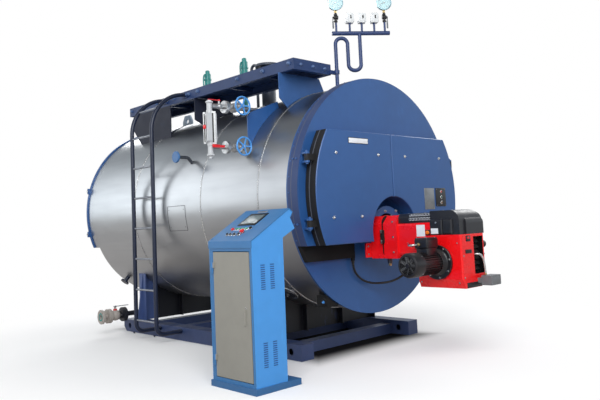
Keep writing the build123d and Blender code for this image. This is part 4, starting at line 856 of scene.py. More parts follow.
def ball(centre: Point, radius: float) -> Shape:
    """A ball."""
    shape = bmesh.new()
    bmesh.ops.create_uvsphere(shape, u_segments=20, v_segments=12, radius=radius)
    return moved(shape, Matrix.Translation(Vector(centre)))


def bent(points: Iterable[Point], radius: float, resolution: int = 10, sides: int = 4) -> Shape:
    """A bent tube along a smooth line."""
    return shape_of(route("tube", points, radius, resolution, sides))


def route(name: str, points: Iterable[Point], radius: float, resolution: int, sides: int) -> bpy.types.Curve:
    """A smooth curve with a round section.

    Args:
        name: The curve's name.
        points: Its control points.
        radius: The section's radius.
        resolution: Steps between two points.
        sides: A quarter of the steps round it.

    Returns:
        The curve.
    """
    curve = bpy.data.curves.new(name, "CURVE")
    curve.dimensions = "3D"
    spline = curve.splines.new("NURBS")
    line = list(points)
    spline.points.add(len(line) - 1)
    for point, place in zip(spline.points, line):
        point.co = (*place, 1.0)
    spline.order_u = 3
    spline.use_endpoint_u = True
    spline.resolution_u = resolution
    curve.bevel_depth = radius
    curve.bevel_resolution = sides
    curve.use_fill_caps = True
    return curve


def lettering(place: Matrix, words: str, height: float, depth: float = 0.3 * MM) -> Shape:
    """Raised plain figures, centred on their place.

    Args:
        place: Their middle, facing along local Z.
        words: The figures.
        height: Their height.
        depth: How far they stand out.

    Returns:
        The shape.
    """
    text = bpy.data.curves.new("figures", "FONT")
    text.body = words
    text.size = height * 1.4
    text.extrude = depth / 2
    text.align_x = "CENTER"
    text.align_y = "CENTER"
    text.resolution_u = 2
    return moved(shape_of(text, 1e-7), place)


def hexagon(place: Matrix, across: float, height: float) -> Shape:
    """A hexagonal nut or head on its seat, with its corners turned off."""
    shape = bmesh.new()
    radius = across / math.sqrt(3)
    shift = Matrix.Translation((0, 0, height / 2))
    bmesh.ops.create_cone(shape, cap_ends=True, segments=6, radius1=radius, radius2=radius, depth=height,
                          matrix=shift)
    crown = [e for e in shape.edges if all(v.co.z > height * 0.9 for v in e.verts)]
    bmesh.ops.bevel(shape, geom=crown, offset=height * 0.14, segments=1, affect="EDGES", profile=0.5,
                    material=-1)
    return moved(shape, place)


def nut(size: float, tall: float, wide: float, sides: int) -> Shape:
    """A hexagon on its washer at the origin.

    Args:
        size: The thread's diameter.
        tall: The hexagon's height as a share of the size.
        wide: The washer's radius as a share of the size.
        sides: The washer's sides.

    Returns:
        The shape.
    """
    thick, rim = size * 0.16, size * wide
    washer = turned(Matrix(), ((0, 0), (rim, 0), (rim, thick), (0, thick)), sides)
    return joined(washer, hexagon(Matrix.Translation((0, 0, thick)), size * 1.6, size * tall))


def bolt(place: Matrix, size: float, stud: float = 0.0) -> Shape:
    """A washer with a hexagonal head, or a nut on a stud.

    Args:
        place: The seat's middle, out along local Z.
        size: The thread's diameter.
        stud: How far the stud stands out of the nut.

    Returns:
        The shape.
    """
    parts = [nut(size, 0.7, 1.05, 20)]
    if stud > 0:
        tip = (0, 0, size * 0.86 + stud)
        parts.append(rod((0, 0, size * 0.5), tip, size / 2, sides=12, round_edge=size * 0.08))
    return moved(joined(*parts), place)


def rivet(place: Matrix, radius: float) -> Shape:
    """A low domed rivet."""
    profile = [(radius * math.cos(a), radius * 0.55 * math.sin(a)) for a in (0.0, 0.5, 1.0, math.pi / 2)]
    return turned(place, profile, 10)


def screw(place: Matrix, radius: float) -> Shape:
    """A domed screw."""
    profile = ((0.0, 0.0), (1.0, 0.0), (0.92, 0.4), (0.5, 0.6), (0.0, 0.65))
    return turned(place, [(radius * out, radius * high) for out, high in profile], 16)


def capnut(place: Matrix, size: float) -> Shape:
    """A domed cap nut on a washer."""
    radius, steps = size * 0.7, [i * math.pi / 12 for i in range(7)]
    dome = turned(Matrix.Translation((0, 0, radius)),
                  [(radius * math.cos(a), radius * math.sin(a)) for a in steps], 20)
    return moved(joined(nut(size, 0.6, 1.2, 24), dome), place)


def stub(start: Point, way: Point, length: float, radius: float, sides: int = 24,
         round_edge: float = 0) -> Shape:
    """A round bar that leaves a point, with its sizes in millimetres.

    Args:
        start: The point.
        way: Its direction.
        length: Its length.
        radius: Its radius.
        sides: How many sides it has.
        round_edge: The rounding of its ends.

    Returns:
        The shape.
    """
    end = Vector(start) + Vector(way) * (length * MM)
    return rod(start, end, radius * MM, sides=sides, round_edge=round_edge * MM)


def circle_of(centre: Point, axis: Point, radius: float, count: int, start: float = 0.0) -> list[Matrix]:
    """Places on a bolt circle, each facing along the axis.

    Args:
        centre: The circle's middle.
        axis: Its axis.
        radius: Its radius.
        count: How many places.
        start: The angle of the first.

    Returns:
        The places.
    """
    middle = placed(centre, axis)
    angles = [start + math.tau * i / count for i in range(count)]
    return [middle @ Matrix.Translation((radius * math.cos(a), radius * math.sin(a), 0)) for a in angles]


class Piece:
    """One mesh gathered from shapes, with a finish for each, that rides on a body."""

    def __init__(self, name: str, slot: Slot, body: Body = Body.BOILER, replaces: Sequence[str] = ()) -> None:
        """Starts an empty piece, which a with statement finishes at its end.

        Args:
            name: The piece's name.
            slot: The record's slot of its main finish. It is not used.
            body: The body that it rides on.
            replaces: The CAD nodes that it stands for.
        """
        self.name = name
        self.slot = slot
        self.body = body
        self.replaces = replaces
        self.mesh = bmesh.new()
        self.finishes: list[Finish] = []

    def __enter__(self) -> "Piece":
        """The piece itself."""
        return self

    def __exit__(self, kind: object, *details: object) -> None:
        """Finishes the piece, unless something went wrong."""
        if kind is None:
            self.done()

    def add(self, finish: Finish, *shapes: Shape) -> None:
        """Adds shapes in one finish and frees them.

        Args:
            finish: Their finish.
            shapes: The shapes, with smooth faces from here on.
        """
        if finish not in self.finishes:
            self.finishes.append(finish)
        index = self.finishes.index(finish)
        for shape in shapes:
            for face in shape.faces:
                face.material_index = index
                face.smooth = True
            pour(shape, self.mesh)

    def block(self, finish: Finish, place: Matrix, size: Point, round_edge: float = 1,
              segments: int = 2) -> None:
        """Adds a block with rounded edges, with its sizes in millimetres."""
        self.add(finish, slab(place, mm(*size), round_edge * MM, segments))

    def turn(self, finish: Finish, place: Matrix, profile: Iterable[Point], sides: int = 32) -> None:
        """Adds a turned shape, with its profile in millimetres."""
        self.add(finish, turned(place, mm(*profile), sides))

    def each(self, finish: Finish, make: Callable[..., Shape], places: Iterable[Matrix],
             *sizes: float) -> None:
        """Adds the same shape at each place.

        Args:
            finish: Its finish.
            make: The function that makes it.
            places: Where it comes.
            sizes: Its sizes in millimetres.
        """
        self.add(finish, *(make(place, *mm(*sizes)) for place in places))

    def done(self) -> bpy.types.Object:
        """Finishes the piece, keeps its sharp edges and puts it on its body.

        Returns:
            The piece's object.
        """
        data = bpy.data.meshes.new(self.name)
        self.mesh.to_mesh(data)
        self.mesh.free()
        for finish in self.finishes:
            data.materials.append(finish.material())
        data.set_sharp_from_angle(angle=math.radians(SHARP_ANGLE))
        item = linked(self.name, data)
        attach(item, self.body.value)
        if self.replaces:
            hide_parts(*self.replaces)
        log.info("%s: %d faces on %s", self.name, len(data.polygons), self.body.value)
        return item


class Paints:
    """The finishes that several sub-assemblies share."""

    BLUE = srgb(40, 84, 143)
    BOILER = Enamel("boiler_blue_paint", BLUE, 0.34, 0.16, 0.07, 0.15, 0.04, 3 * MM)
    # Painted shade: the doors' round sides are near black and the rim's round side a darker blue.
    DOOR = DoorEnamel("door_blue_and_side_shade", BLUE, 0.36, 0.16, 0.06, 0.04, 0.02, 1.5 * MM)
    RIM = DoorEnamel("rim_blue_and_side_shade", BLUE, 0.34, 0.16, 0.06, 0.1, 0.03, 3 * MM, 0.0,
                     srgb(42, 62, 106), 1.0975, -1.900, (-1.805, -1.799), 0.2)
    # Painted shade: the rear walkway support, beyond the plane, is made near black.
    SHOULDER = TwoTone("shoulder_paint_and_shade", srgb(44, 86, 143), 0.62, 0.2, 0.08, 0.2, 0.0, 2 * MM, 0.0,
                       srgb(14, 22, 44), "Y", -1.0)
    # Painted light and shade: the saddles' outer part is a lighter blue, as if lit, and their part under the
    # boiler is near black.
    SADDLE = TwoTone("saddle_lit_and_shaded_paint", srgb(70, 90, 140), 0.45, 0.2, 0.1, 0.2, 0.04, 3 * MM, 0.0,
                     srgb(20, 22, 30), "X", -0.60)
    NOZZLE = TwoTone("nozzle_paint", srgb(62, 108, 160), 0.4, 0.3, 0.1, 0.3, 0.05, 2 * MM, 0.0,
                     srgb(46, 52, 62), "X", -1.1495)
    SKID = Enamel("skid_blue_paint", srgb(50, 66, 106), 0.42, 0.25, 0.12, 0.4, 0.08, 3 * MM)
    # Painted shade: a darker copy of the skid's blue for the walkway, which stands in more light.
    WALK = Enamel("walkway_shaded_blue", srgb(28, 54, 100), 0.5, 0.25, 0.12, 0.35, 0.03, 3 * MM)
    RACK = TwoTone("rack_paint", srgb(36, 58, 106), 0.42, 0.25, 0.12, 0.3, 0.05, 2 * MM, 0.0,
                   srgb(20, 20, 24), "Z", 3.152)
    BLOWDOWN = TwoTone("blowdown_paint", srgb(172, 166, 160), 0.45, 0.4, 0.12, 0.3, 0.06, 1.5 * MM, 0.0,
                       srgb(28, 30, 38), "X", -0.997)
    # Painted light: a pale blue-grey for the lifting lugs, which sit in the walkway's shade.
    LIFT = Enamel("lift_painted_light", srgb(158, 176, 194), 0.42, 0.3, 0.1, 0.3, 0.05, 2 * MM)
    LUG = Enamel("lug_paint", srgb(78, 104, 148), 0.28, 0.3, 0.1, 0.3, 0.05, 2 * MM)
    HIDDEN = Enamel("primer", srgb(34, 34, 38), 0.6, 0.3, 0.2, 0.2, 0.1, 2 * MM)
    RED = Enamel("burner_red_paint", srgb(240, 20, 28), 0.26, 0.12, 0.06, 0.12, 0.02, 2 * MM, 0.3)
    # Painted shade: the recess in the housing's front is black.
    FAN_RED = BoxedEnamel("fan_red_and_recess_shade", srgb(244, 14, 20), 0.26, 0.12, 0.06, 0.12, 0.02, 2 * MM, 0.3)
    MOTOR = Enamel("motor_paint", srgb(22, 21, 26), 0.3, 0.3, 0.14, 0.25, 0.04, 1.5 * MM)
    # Near black paint; on the cable duct it is also painted shadow of the smokebox on the plate below.
    DUCT = Enamel("duct_black_and_shadow", srgb(5, 5, 6), 0.9, 0.3, 0.15, 0.1, 0.02, 1.5 * MM)
    LADDER = Enamel("ladder_paint", srgb(24, 34, 58), 0.34, 0.2, 0.14, 0.3, 0.04, 1 * MM)
    TEAL = Enamel("teal_paint", srgb(44, 134, 130), 0.4, 0.3, 0.14, 0.25, 0.06, 1.5 * MM)
    PIPE = Enamel("pipe_paint", srgb(56, 64, 78), 0.46, 0.4, 0.2, 0.4, 0.08, 1.5 * MM)
    WHEEL = Enamel("wheel_paint", srgb(74, 146, 216), 0.28, 0.15, 0.08, 0.3, 0.02, 1 * MM)
    DESK = Enamel("desk_powder", srgb(70, 148, 220), 0.4, 0.3, 0.04, 0.06, 0.02, 2 * MM)
    SLOT = Enamel("louvre_shade", srgb(30, 74, 128), 0.5, 0.3, 0.04, 0.0, 0.0, 1 * MM)
    PLINTH = Enamel("plinth_powder", srgb(48, 100, 150), 0.4, 0.3, 0.05, 0.2, 0.03, 2 * MM)
    LID = Enamel("desk_lid_powder", srgb(52, 112, 166), 0.4, 0.3, 0.05, 0.06, 0.03, 2 * MM)
    GREY = TwoTone("desk_door_powder", srgb(140, 139, 132), 0.5, 0.45, 0.05, 0.06, 0.02, 2 * MM, 0.0,
                   srgb(60, 132, 200), "Y", -1.6425)
    STEEL_SHEET = Rolled("rolled_stainless", (0.62, 0.65, 0.675))
    GAUGE_CASE = Metal("gauge_case", (0.34, 0.5, 0.55), 0.3, 0.05, 60.0, 0.2)
    # Painted sheen: pale grey paint stands in for the bright reflection of the level column's polished steel.
    TUBE = Enamel("gauge_silver", srgb(192, 196, 200), 0.3, 0.1, 0.08, 0.1, 0.02, 1 * MM)
    RUNG = Metal("rung_steel", (0.34, 0.36, 0.4), 0.42, 0.1, 60.0, 0.3)
    STEEL = Metal("bright_steel", (0.68, 0.68, 0.67), 0.24, 0.08, 70.0, 0.25)
    ZINC = Metal("zinc", (0.5, 0.52, 0.54), 0.34, 0.15, 90.0, 0.35)
    CAST = Metal("cast_steel", (0.55, 0.56, 0.57), 0.38, 0.5, 50.0, 0.45)
    DARK_STEEL = Metal("dark_steel", (0.12, 0.12, 0.13), 0.42, 0.3, 60.0, 0.35)
    BRASS = Metal("brass", (0.72, 0.53, 0.25), 0.3, 0.15, 70.0, 0.3)
    CASE = Metal("polished_case", (0.78, 0.78, 0.79), 0.16, 0.04, 60.0, 0.12)
    COVER = Plastic("moulded_cover", srgb(32, 33, 38), 0.34, 0.12, 3 * MM)
    VENT = Plastic("vent_frame", srgb(205, 210, 218), 0.4, 0.1)
    BLACK = Plastic("black_plastic", srgb(24, 24, 27), 0.38, 0.15)
    GREY_PLASTIC = Plastic("grey_plastic", srgb(104, 108, 112), 0.45, 0.2)
    WHITE_PLASTIC = Plastic("white_plastic", srgb(210, 214, 216), 0.35, 0.1)
    RED_PLASTIC = Plastic("red_plastic", srgb(214, 28, 36), 0.32, 0.1)
    ORANGE = Plastic("orange_plastic", srgb(240, 120, 20), 0.35, 0.1)
    GREEN = Plastic("green_plastic", srgb(20, 150, 110), 0.35, 0.1)
    RUBBER = Rubber("cable_rubber", srgb(12, 12, 14))
    CLEAR = Glass("clear_glass", (0.9, 0.95, 0.95))
    SCREEN = Print("screen_face", srgb(108, 122, 126), 0.14)
    DIAL = Print("dial_face", srgb(184, 230, 238), 0.35)
    INK = Print("ink", srgb(16, 16, 18), 0.5)
    RED_INK = Print("red_ink", srgb(205, 25, 25), 0.45)
    LABEL = Print("bare_label", srgb(232, 236, 242), 0.35)
    PLATE = Metal("bare_plate", (0.6, 0.58, 0.54), 0.34, 0.1, 30.0, 0.15)
    TAG = Metal("tag_plate", (0.3, 0.31, 0.32), 0.42, 0.1, 30.0, 0.3)
    # Painted shade: near black for the insides of holes, slots and the motor cowl; on the head's joint it is
    # a real dark joint.
    VOID = Print("inner_dark", srgb(8, 8, 9), 0.7)
    LAMP_RED = Lens("red_lens", srgb(150, 26, 30), 0.1)
    LAMP_GREEN = Lens("green_lens", srgb(24, 70, 66), 0.02)
    LAMP_AMBER = Lens("amber_lens", srgb(90, 60, 34), 0.02)


def dress(finishes: dict[str, Finish], others: dict[str, Finish]) -> None:
    """Gives every CAD node its finish.

    Args:
        finishes: The finish of each of the record's slots.
        others: The nodes whose finish isn't their slot's.
    """
    for part in frame["record"]["subparts"]:
        node = part["node"]
        material = others.get(node, finishes[part["material_slot"]]).material()
        data = frame["nodes"][node].data
        data.materials.clear()
        data.materials.append(material)


# Sub-assemblies


@dataclass
class Studio:
    """The floor, the lamps, the pale surroundings and the camera."""

    eye: Triple = (-4.7456, -5.7549, 1.2019)
    right: Triple = (0.7222, -0.6903, -0.0457)
    up: Triple = (-0.0263, -0.0935, 0.9954)
    look: Triple = (0.6912, 0.7176, 0.0856)
    lens: float = 38.86
    sensor: float = 36.0
    shift: Pair = (-0.0061, -0.0553)
    sight: float = 200.0
    floor_reach: float = 60.0
    fade: Pair = (2.1, 4.2)
    # Middle across, half width and half length of the painted shadow under the boiler.
    under: Triple = (0.05, 0.74, 1.62)
    bands: tuple[Pair, ...] = ((0.28, 0.86), (0.45, 0.5), (0.62, 0.28))
    zenith: float = 0.22
    fill: float = 0.5

    def build(self) -> None:
        """Makes all of it."""
        self.camera()
        self.surroundings()
        self.floor()
        self.lamp("key_lamp", (-6.0, -7.0, 6.0), (0.0, -0.6, 1.2), 6.0, 700.0)
        self.lamp("side_lamp", (-8.5, 8.5, 4.6), (-0.6, 0.6, 1.5), 8.0, 210.0)
        self.lamp("right_lamp", (7.5, -1.5, 5.5), (0.0, -0.5, 1.3), 4.0, 240.0)
        self.lamp("back_lamp", (3.0, 7.0, 5.5), (0.0, 0.5, 1.4), 4.0, 240.0)

    def camera(self) -> None:
        """The camera at the photograph's angle."""
        data = bpy.data.cameras.new("camera")
        data.lens = self.lens
        data.sensor_width = self.sensor
        data.shift_x, data.shift_y = self.shift
        data.clip_end = self.sight
        item = linked("camera", data)
        columns = Matrix((self.right, self.up, [-part for part in self.look])).transposed()
        item.matrix_world = Matrix.Translation(self.eye) @ columns.to_4x4()
        bpy.context.scene.camera = item
        bpy.context.scene.view_settings.view_transform = "Standard"

    def surroundings(self) -> None:
        """White behind everything, a horizon band that metal and glass show, and a softer fill light."""
        world = bpy.data.worlds.new("studio")
        bpy.context.scene.world = world
        graph = Graph("studio", world)
        way = graph.add("ShaderNodeTexCoord", output="Generated")
        height = graph.add("ShaderNodeSeparateXYZ", None, {0: way}, "Z")
        ramp = graph.add("ShaderNodeValToRGB", None, {"Fac": height})
        steps = ramp.socket.node.color_ramp.elements
        first, last = steps
        first.position, first.color = 0.0, (0.88, 0.95, 1.0, 1.0)
        last.position, last.color = 1.0, (self.zenith, self.zenith, self.zenith * 1.03, 1.0)
        for position, grey in self.bands:
            steps.new(position).color = (grey * 0.94, grey, grey * 1.06, 1.0)
        fill = graph.add("ShaderNodeBackground", None, {"Color": (0.96, 0.98, 1.0), "Strength": self.fill})
        band = graph.add("ShaderNodeBackground", None, {"Color": ramp})
        white = graph.add("ShaderNodeBackground", None, {"Color": (1.0, 1.0, 1.0)})
        lighting = graph.either(graph.ray("Glossy"), fill, band)
        graph.end(graph.either(graph.ray("Camera"), lighting, white), "ShaderNodeOutputWorld")

    def floor(self) -> None:
        """A floor that looks white, fades into the white behind it, has a painted shadow under the boiler,
        and is dull in reflections.
        """
        graph = Graph("pale_floor")
        x, y = graph.axis("X"), graph.axis("Y")
        far = graph.ease(graph.maths("SQRT", x * x + y * y), *self.fade)
        cloud = graph.ease(graph.noise(0.6, 3.0), 0.3, 0.7)
        # Painted shadow: the floor is made near black in a soft box under the boiler.
        past_side = graph.maths("ABSOLUTE", x - self.under[0]) - self.under[1]
        past_end = graph.maths("ABSOLUTE", y) - self.under[2]
        shaded = 1.0 - graph.ease(graph.maths("MAXIMUM", past_side, past_end), -0.15, 0.25)
        tint = graph.mix(cloud, (0.95, 0.95, 0.95), (0.97, 0.97, 0.97))
        tint = graph.mix(shaded, tint, (0.012, 0.012, 0.014))
        lit = graph.add("ShaderNodeBsdfDiffuse", None, {"Color": tint})
        dull = graph.add("ShaderNodeBsdfDiffuse", None, {"Color": (0.55, 0.52, 0.5)})
        glow = graph.add("ShaderNodeEmission", None, {"Color": (1.0, 1.0, 1.0), "Strength": 1.0})
        graph.end(graph.either(graph.ray("Camera"), dull, graph.either(far, lit, glow)))
        shape = bmesh.new()
        bmesh.ops.create_grid(shape, x_segments=8, y_segments=8, size=self.floor_reach)
        data = bpy.data.meshes.new("studio_floor")
        shape.to_mesh(data)
        shape.free()
        data.materials.append(graph.owner)
        item = linked("studio_floor", data)

    def lamp(self, name: str, place: Point, aim: Point, size: float, power: float) -> None:
        """A soft square lamp.

        Args:
            name: Its name.
            place: Where it hangs.
            aim: What it points at.
            size: Its side.
            power: Its power in watts.
        """
        data = bpy.data.lights.new(name, "AREA")
        data.shape = "SQUARE"
        data.size = size
        data.energy = power
        linked(name, data).matrix_world = placed(place, Vector(place) - Vector(aim))


@dataclass
class BurnerCable:
    """The black cable that hangs from the duct to the fan housing."""

    front_y: float = -1.881
    diameter: float = 0.020
    length: float = 0.862
    start: Triple = (-0.362, 0.092, 0.841)
    end: Triple = (0.120, -0.185, 0.852)
    bends: tuple[Triple, ...] = (
        (-0.362, 0.092, 0.775),
        (-0.327, 0.088, 0.712),
        (-0.258, 0.082, 0.655),
        (-0.160, 0.068, 0.620),
        (-0.050, 0.040, 0.610),
        (0.007, -0.036, 0.622),
        (0.062, -0.108, 0.660),
        (0.101, -0.160, 0.712),
        (0.120, -0.185, 0.772),
    )

    def build(self) -> None:
        """Makes the cable and its two tapered sleeves."""
        points = [(x, self.front_y + y, z) for x, y, z in (self.start, *self.bends, self.end)]
        curve = route("burner_cable_run", points, self.diameter / 2, 16, 5)
        curve.materials.append(Paints.RUBBER.material())
        item = linked("burner_cable_run", curve)
        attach(item, Body.BOILER.value)
        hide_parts("burner_cable")
        sleeves = Piece("burner_cable_sleeves", Slot.CABLE)
        sleeves.add(Paints.BLACK, self.sleeve(points[0]), self.sleeve(points[-1]))
        relief = sleeves.done()

    def sleeve(self, mouth: Point) -> Shape:
        """A ribbed taper that hangs below a gland's mouth."""
        radius = self.diameter / 2 / MM
        profile = [(radius + 0.2, 0), (radius + 5.5, 0), (radius + 5.5, 5)]
        for rib in range(5):
            low, out = 7 + rib * 6, radius + 4.4 - rib * 0.7
            profile += [(out - 1.2, low), (out, low + 1), (out, low + 4), (out - 1.2, low + 5)]
        profile += [(radius + 0.2, 37), (radius + 0.2, 0)]
        return turned(placed(mouth, DOWN, BACK), mm(*profile), 24)


@dataclass
class Cladding:
    """Beaded seams, riveted laps and the inspection panel of the stainless sheet.

    The radii of the beads and rivets are in millimetres.
    """

    radius: float = 1.067
    front: float = -1.739
    rear: float = 1.854
    seams: Triple = (-1.331, -0.451, 0.847)
    bead: float = 5.0
    lap: float = 0.045
    rivets: int = 44
    rivet: float = 4.2
    rivet_pitch: float = 0.11
    long_gaps: Pair = (0.055, 0.015)
    panel: tuple[float, float, float, float] = (-0.176, 0.154, 1.177, 1.430)
    long_seams: tuple[float, ...] = (296.0, 252.0, 288.0, 260.0)

    def on(self, y: float, angle: float, out: float = 0.0) -> Matrix:
        """A place on the sheet, some millimetres off it, at degrees from the right side over the top."""
        return round_axis(self.radius + out * MM, y, angle)

    def build(self) -> None:
        """Makes the seams, the lengthwise laps and the panel's edge."""
        with Piece("cladding_seams", Slot.STAINLESS) as sheet:
            for index, y in enumerate(self.seams):
                self.seam(sheet, y, 0.5 * (index % 2))
            ends = (self.front, *self.seams, self.rear)
            for first, last, angle in zip(ends, ends[1:], self.long_seams):
                self.long_seam(sheet, first + self.long_gaps[0], last - self.long_gaps[1], angle)
            sheet.add(Paints.DARK_STEEL, *self.panel_edge())

    def seam(self, sheet: Piece, y: float, offset: float) -> None:
        """A bead round the sheet, the lap beside it, and the lap's rivets.

        Args:
            sheet: The piece it is added to.
            y: Its place along the boiler.
            offset: How many rivets the row is turned by.
        """
        middle = placed((0, y, AXIS_Z), BACK)
        sheet.add(Paints.STEEL, ring(middle, self.radius + 0.6 * MM, self.bead * MM, 180, 8))
        radius, lap = self.radius / MM, self.lap / MM
        sheet.turn(Paints.STEEL_SHEET, middle, ((radius - 1, 0), (radius + 1.1, 0), (radius + 1.3, 1),
                                                (radius + 1.3, lap), (radius - 1, lap + 1)), 180)
        angles = (360.0 * (step + offset) / self.rivets for step in range(self.rivets))
        seats = [self.on(y + self.lap * 0.55, angle, 1.3) for angle in angles]
        sheet.each(Paints.STEEL, rivet, seats, self.rivet)

    def long_seam(self, sheet: Piece, first: float, last: float, angle: float) -> None:
        """A riveted lap along the sheet.

        Args:
            sheet: The piece that it belongs to.
            first: Where it starts along the boiler.
            last: Where it ends.
            angle: Its place round the boiler in degrees.
        """
        length = last - first
        middle = self.on((first + last) / 2, angle, 0.5)
        sheet.block(Paints.STEEL_SHEET, middle, (34, length / MM, 2), 0.5, 1)
        count = round(length / self.rivet_pitch)
        seats = [self.on(first + length * (step + 0.5) / count, angle, 1.4) for step in range(count)]
        sheet.each(Paints.STEEL, rivet, seats, self.rivet)

    def panel_edge(self) -> list[Shape]:
        """The raised outline of the flat inspection panel, with a screw at each corner."""
        first, last, low, high = self.panel
        angles = [180 - math.degrees(math.asin((z - AXIS_Z) / self.radius)) for z in (low, high)]
        turn, start = math.radians(abs(angles[1] - angles[0])), math.radians(min(angles))
        rim = self.radius + 0.4 * MM
        shapes = [ring(upright(y, AXIS_Z), rim, 2.6 * MM, 24, 6, turn, start) for y in (first, last)]
        for angle in angles:
            middle = self.on((first + last) / 2, angle, 0.3)
            shapes.append(slab(middle, (5 * MM, last - first, 4 * MM), 1 * MM, 1))
        for y in (first + 0.03, last - 0.03):
            for angle in (angles[0] - 2.0, angles[1] + 2.0):
                shapes.append(screw(self.on(y, angle), 4.5 * MM))
        return shapes


@dataclass
class SmokeboxFront:
    """Cap nuts, bare plates and lamps of the two front doors, and the bolts behind them."""

    face: float = -2.013
    nuts_high: tuple[float, ...] = (-0.754, -0.195, 0.195, 0.754)
    nuts_low: tuple[float, ...] = (-0.817, -0.463, 0.463, 0.817)
    high: float = 1.782
    low: float = 1.232
    name_at: Pair = (-0.461, 1.8965)
    tag_at: Pair = (0.554, 1.379)
    lamps_at: Pair = (0.743, 1.393)
    hinge_heights: Pair = (1.188, 1.738)
    hinge_rows: Pair = (-1.80, -1.84)
    rim: float = 1.100
    rim_y: float = -1.775
    sweep: Pair = (-20.0, 220.0)
    rivets: int = 32

    def out(self, x: float, z: float) -> Matrix:
        """A place on the doors' face, facing the front."""
        return placed((x, self.face, z), FRONT)

    def build(self) -> None:
        """Dresses both doors and the rim."""
        doors = ((-1, Body.DOOR_LEFT, "left_door_fittings", self.name_plate),
                 (1, Body.DOOR_RIGHT, "right_door_fittings", self.lamp_plate))
        for side, body, name, plates in doors:
            with Piece(name, Slot.FITTING, body) as door:
                for places, z in ((self.nuts_high, self.high), (self.nuts_low, self.low)):
                    door.each(Paints.STEEL, capnut, [self.out(x, z) for x in places if x * side > 0], 12)
                plates(door)
        self.rim_bolts()

    def name_plate(self, door: Piece) -> None:
        """The bare plate on the left door: white with a dark frame."""
        middle = self.out(*self.name_at)
        door.block(Paints.INK, middle, (262, 53, 5), 1.2)
        door.block(Paints.LABEL, shifted(middle, 0, 0, 1), (252, 43, 5))
        door.each(Paints.ZINC, screw, [shifted(middle, x, 0, 3.5) for x in (-122, 122)], 3.5)

    def lamp_plate(self, door: Piece) -> None:
        """The bare steel plate and the dark plate with three lamps on the right door."""
        plate = self.out(*self.tag_at)
        door.block(Paints.TAG, plate, (162, 208, 4))
        door.each(Paints.ZINC, rivet, corners(plate, 72, 95, 2), 3.5)
        panel = self.out(*self.lamps_at)
        door.block(Paints.BLACK, panel, (168, 182, 14), 4, 3)
        for finish, y in ((Paints.LAMP_RED, 55), (Paints.LAMP_GREEN, 0), (Paints.LAMP_AMBER, -55)):
            seat = shifted(panel, 5, y, 7)
            door.add(Paints.CASE, ring(seat, *mm(14, 2.5), 28, 8))
            door.turn(finish, seat, ((12.5, 0), (12, 4), (8, 8), (0, 9.5)), 24)
        door.each(Paints.ZINC, screw, corners(panel, 72, 80, 7), 3.5)

    def rim_bolts(self) -> None:
        """Nuts on the ends of the hinge pins, and rivets round the smokebox's rim."""
        with Piece("smokebox_rim_bolts", Slot.BOILER_BLUE) as rim:
            for side in (-1, 1):
                for z in self.hinge_heights:
                    x = side * half_width(self.rim, z)
                    seats = [placed((x, y, z), (side, 0, 0)) for y in self.hinge_rows]
                    rim.each(Paints.BOILER, bolt, seats, 10)
            seats = [round_axis(self.rim, self.rim_y, angle) for angle in fan(*self.sweep, self.rivets)]
            rim.each(Paints.BOILER, rivet, seats, 7)


@dataclass
class RearEnd:
    """Bolts, side lugs and lifting handles of the rear cover."""

    radius: float = 1.048
    back: float = 2.009
    sweep: Pair = (-21.0, 222.0)
    bolts: int = 25
    low_row: Triple = (-0.88, 0.22, 1.037)
    low_bolts: int = 9
    lug_radius: float = 1.082
    lug_y: float = 1.994
    lug_heights: Pair = (1.714, 1.176)
    grips: Pair = (-0.62, 0.62)

    def build(self) -> None:
        """Makes the bolts round the cover's face and along its flat bottom, the lugs and the handles."""
        angles = map(math.radians, fan(*self.sweep, self.bolts))
        spots = [(self.radius * math.cos(angle), AXIS_Z + self.radius * math.sin(angle)) for angle in angles]
        first, pitch, height = self.low_row
        spots += [(first + pitch * step, height) for step in range(self.low_bolts)]
        with Piece("rear_cover_bolts", Slot.BOILER_BLUE) as piece:
            piece.each(Paints.ZINC, bolt, [placed((x, self.back, z), BACK) for x, z in spots], 12, 5)
            for z in self.lug_heights:
                for side in (-1, 1):
                    edge = Matrix.Translation((side * half_width(self.lug_radius, z), self.lug_y, z))
                    piece.block(Paints.BOILER, shifted(edge, side * 8), (34, 26, 70), 3)
                    seat = placed(shifted(edge, side * 25).translation, (side, 0, 0))
                    piece.add(Paints.ZINC, bolt(seat, 12 * MM))
            bends = mm((0, 1300), (55, 1300), (60, 1370), (60, 1440), (55, 1500), (0, 1500))
            for x in self.grips:
                piece.add(Paints.BOILER, bent([(x, self.back + out, z) for out, z in bends], 7 * MM))


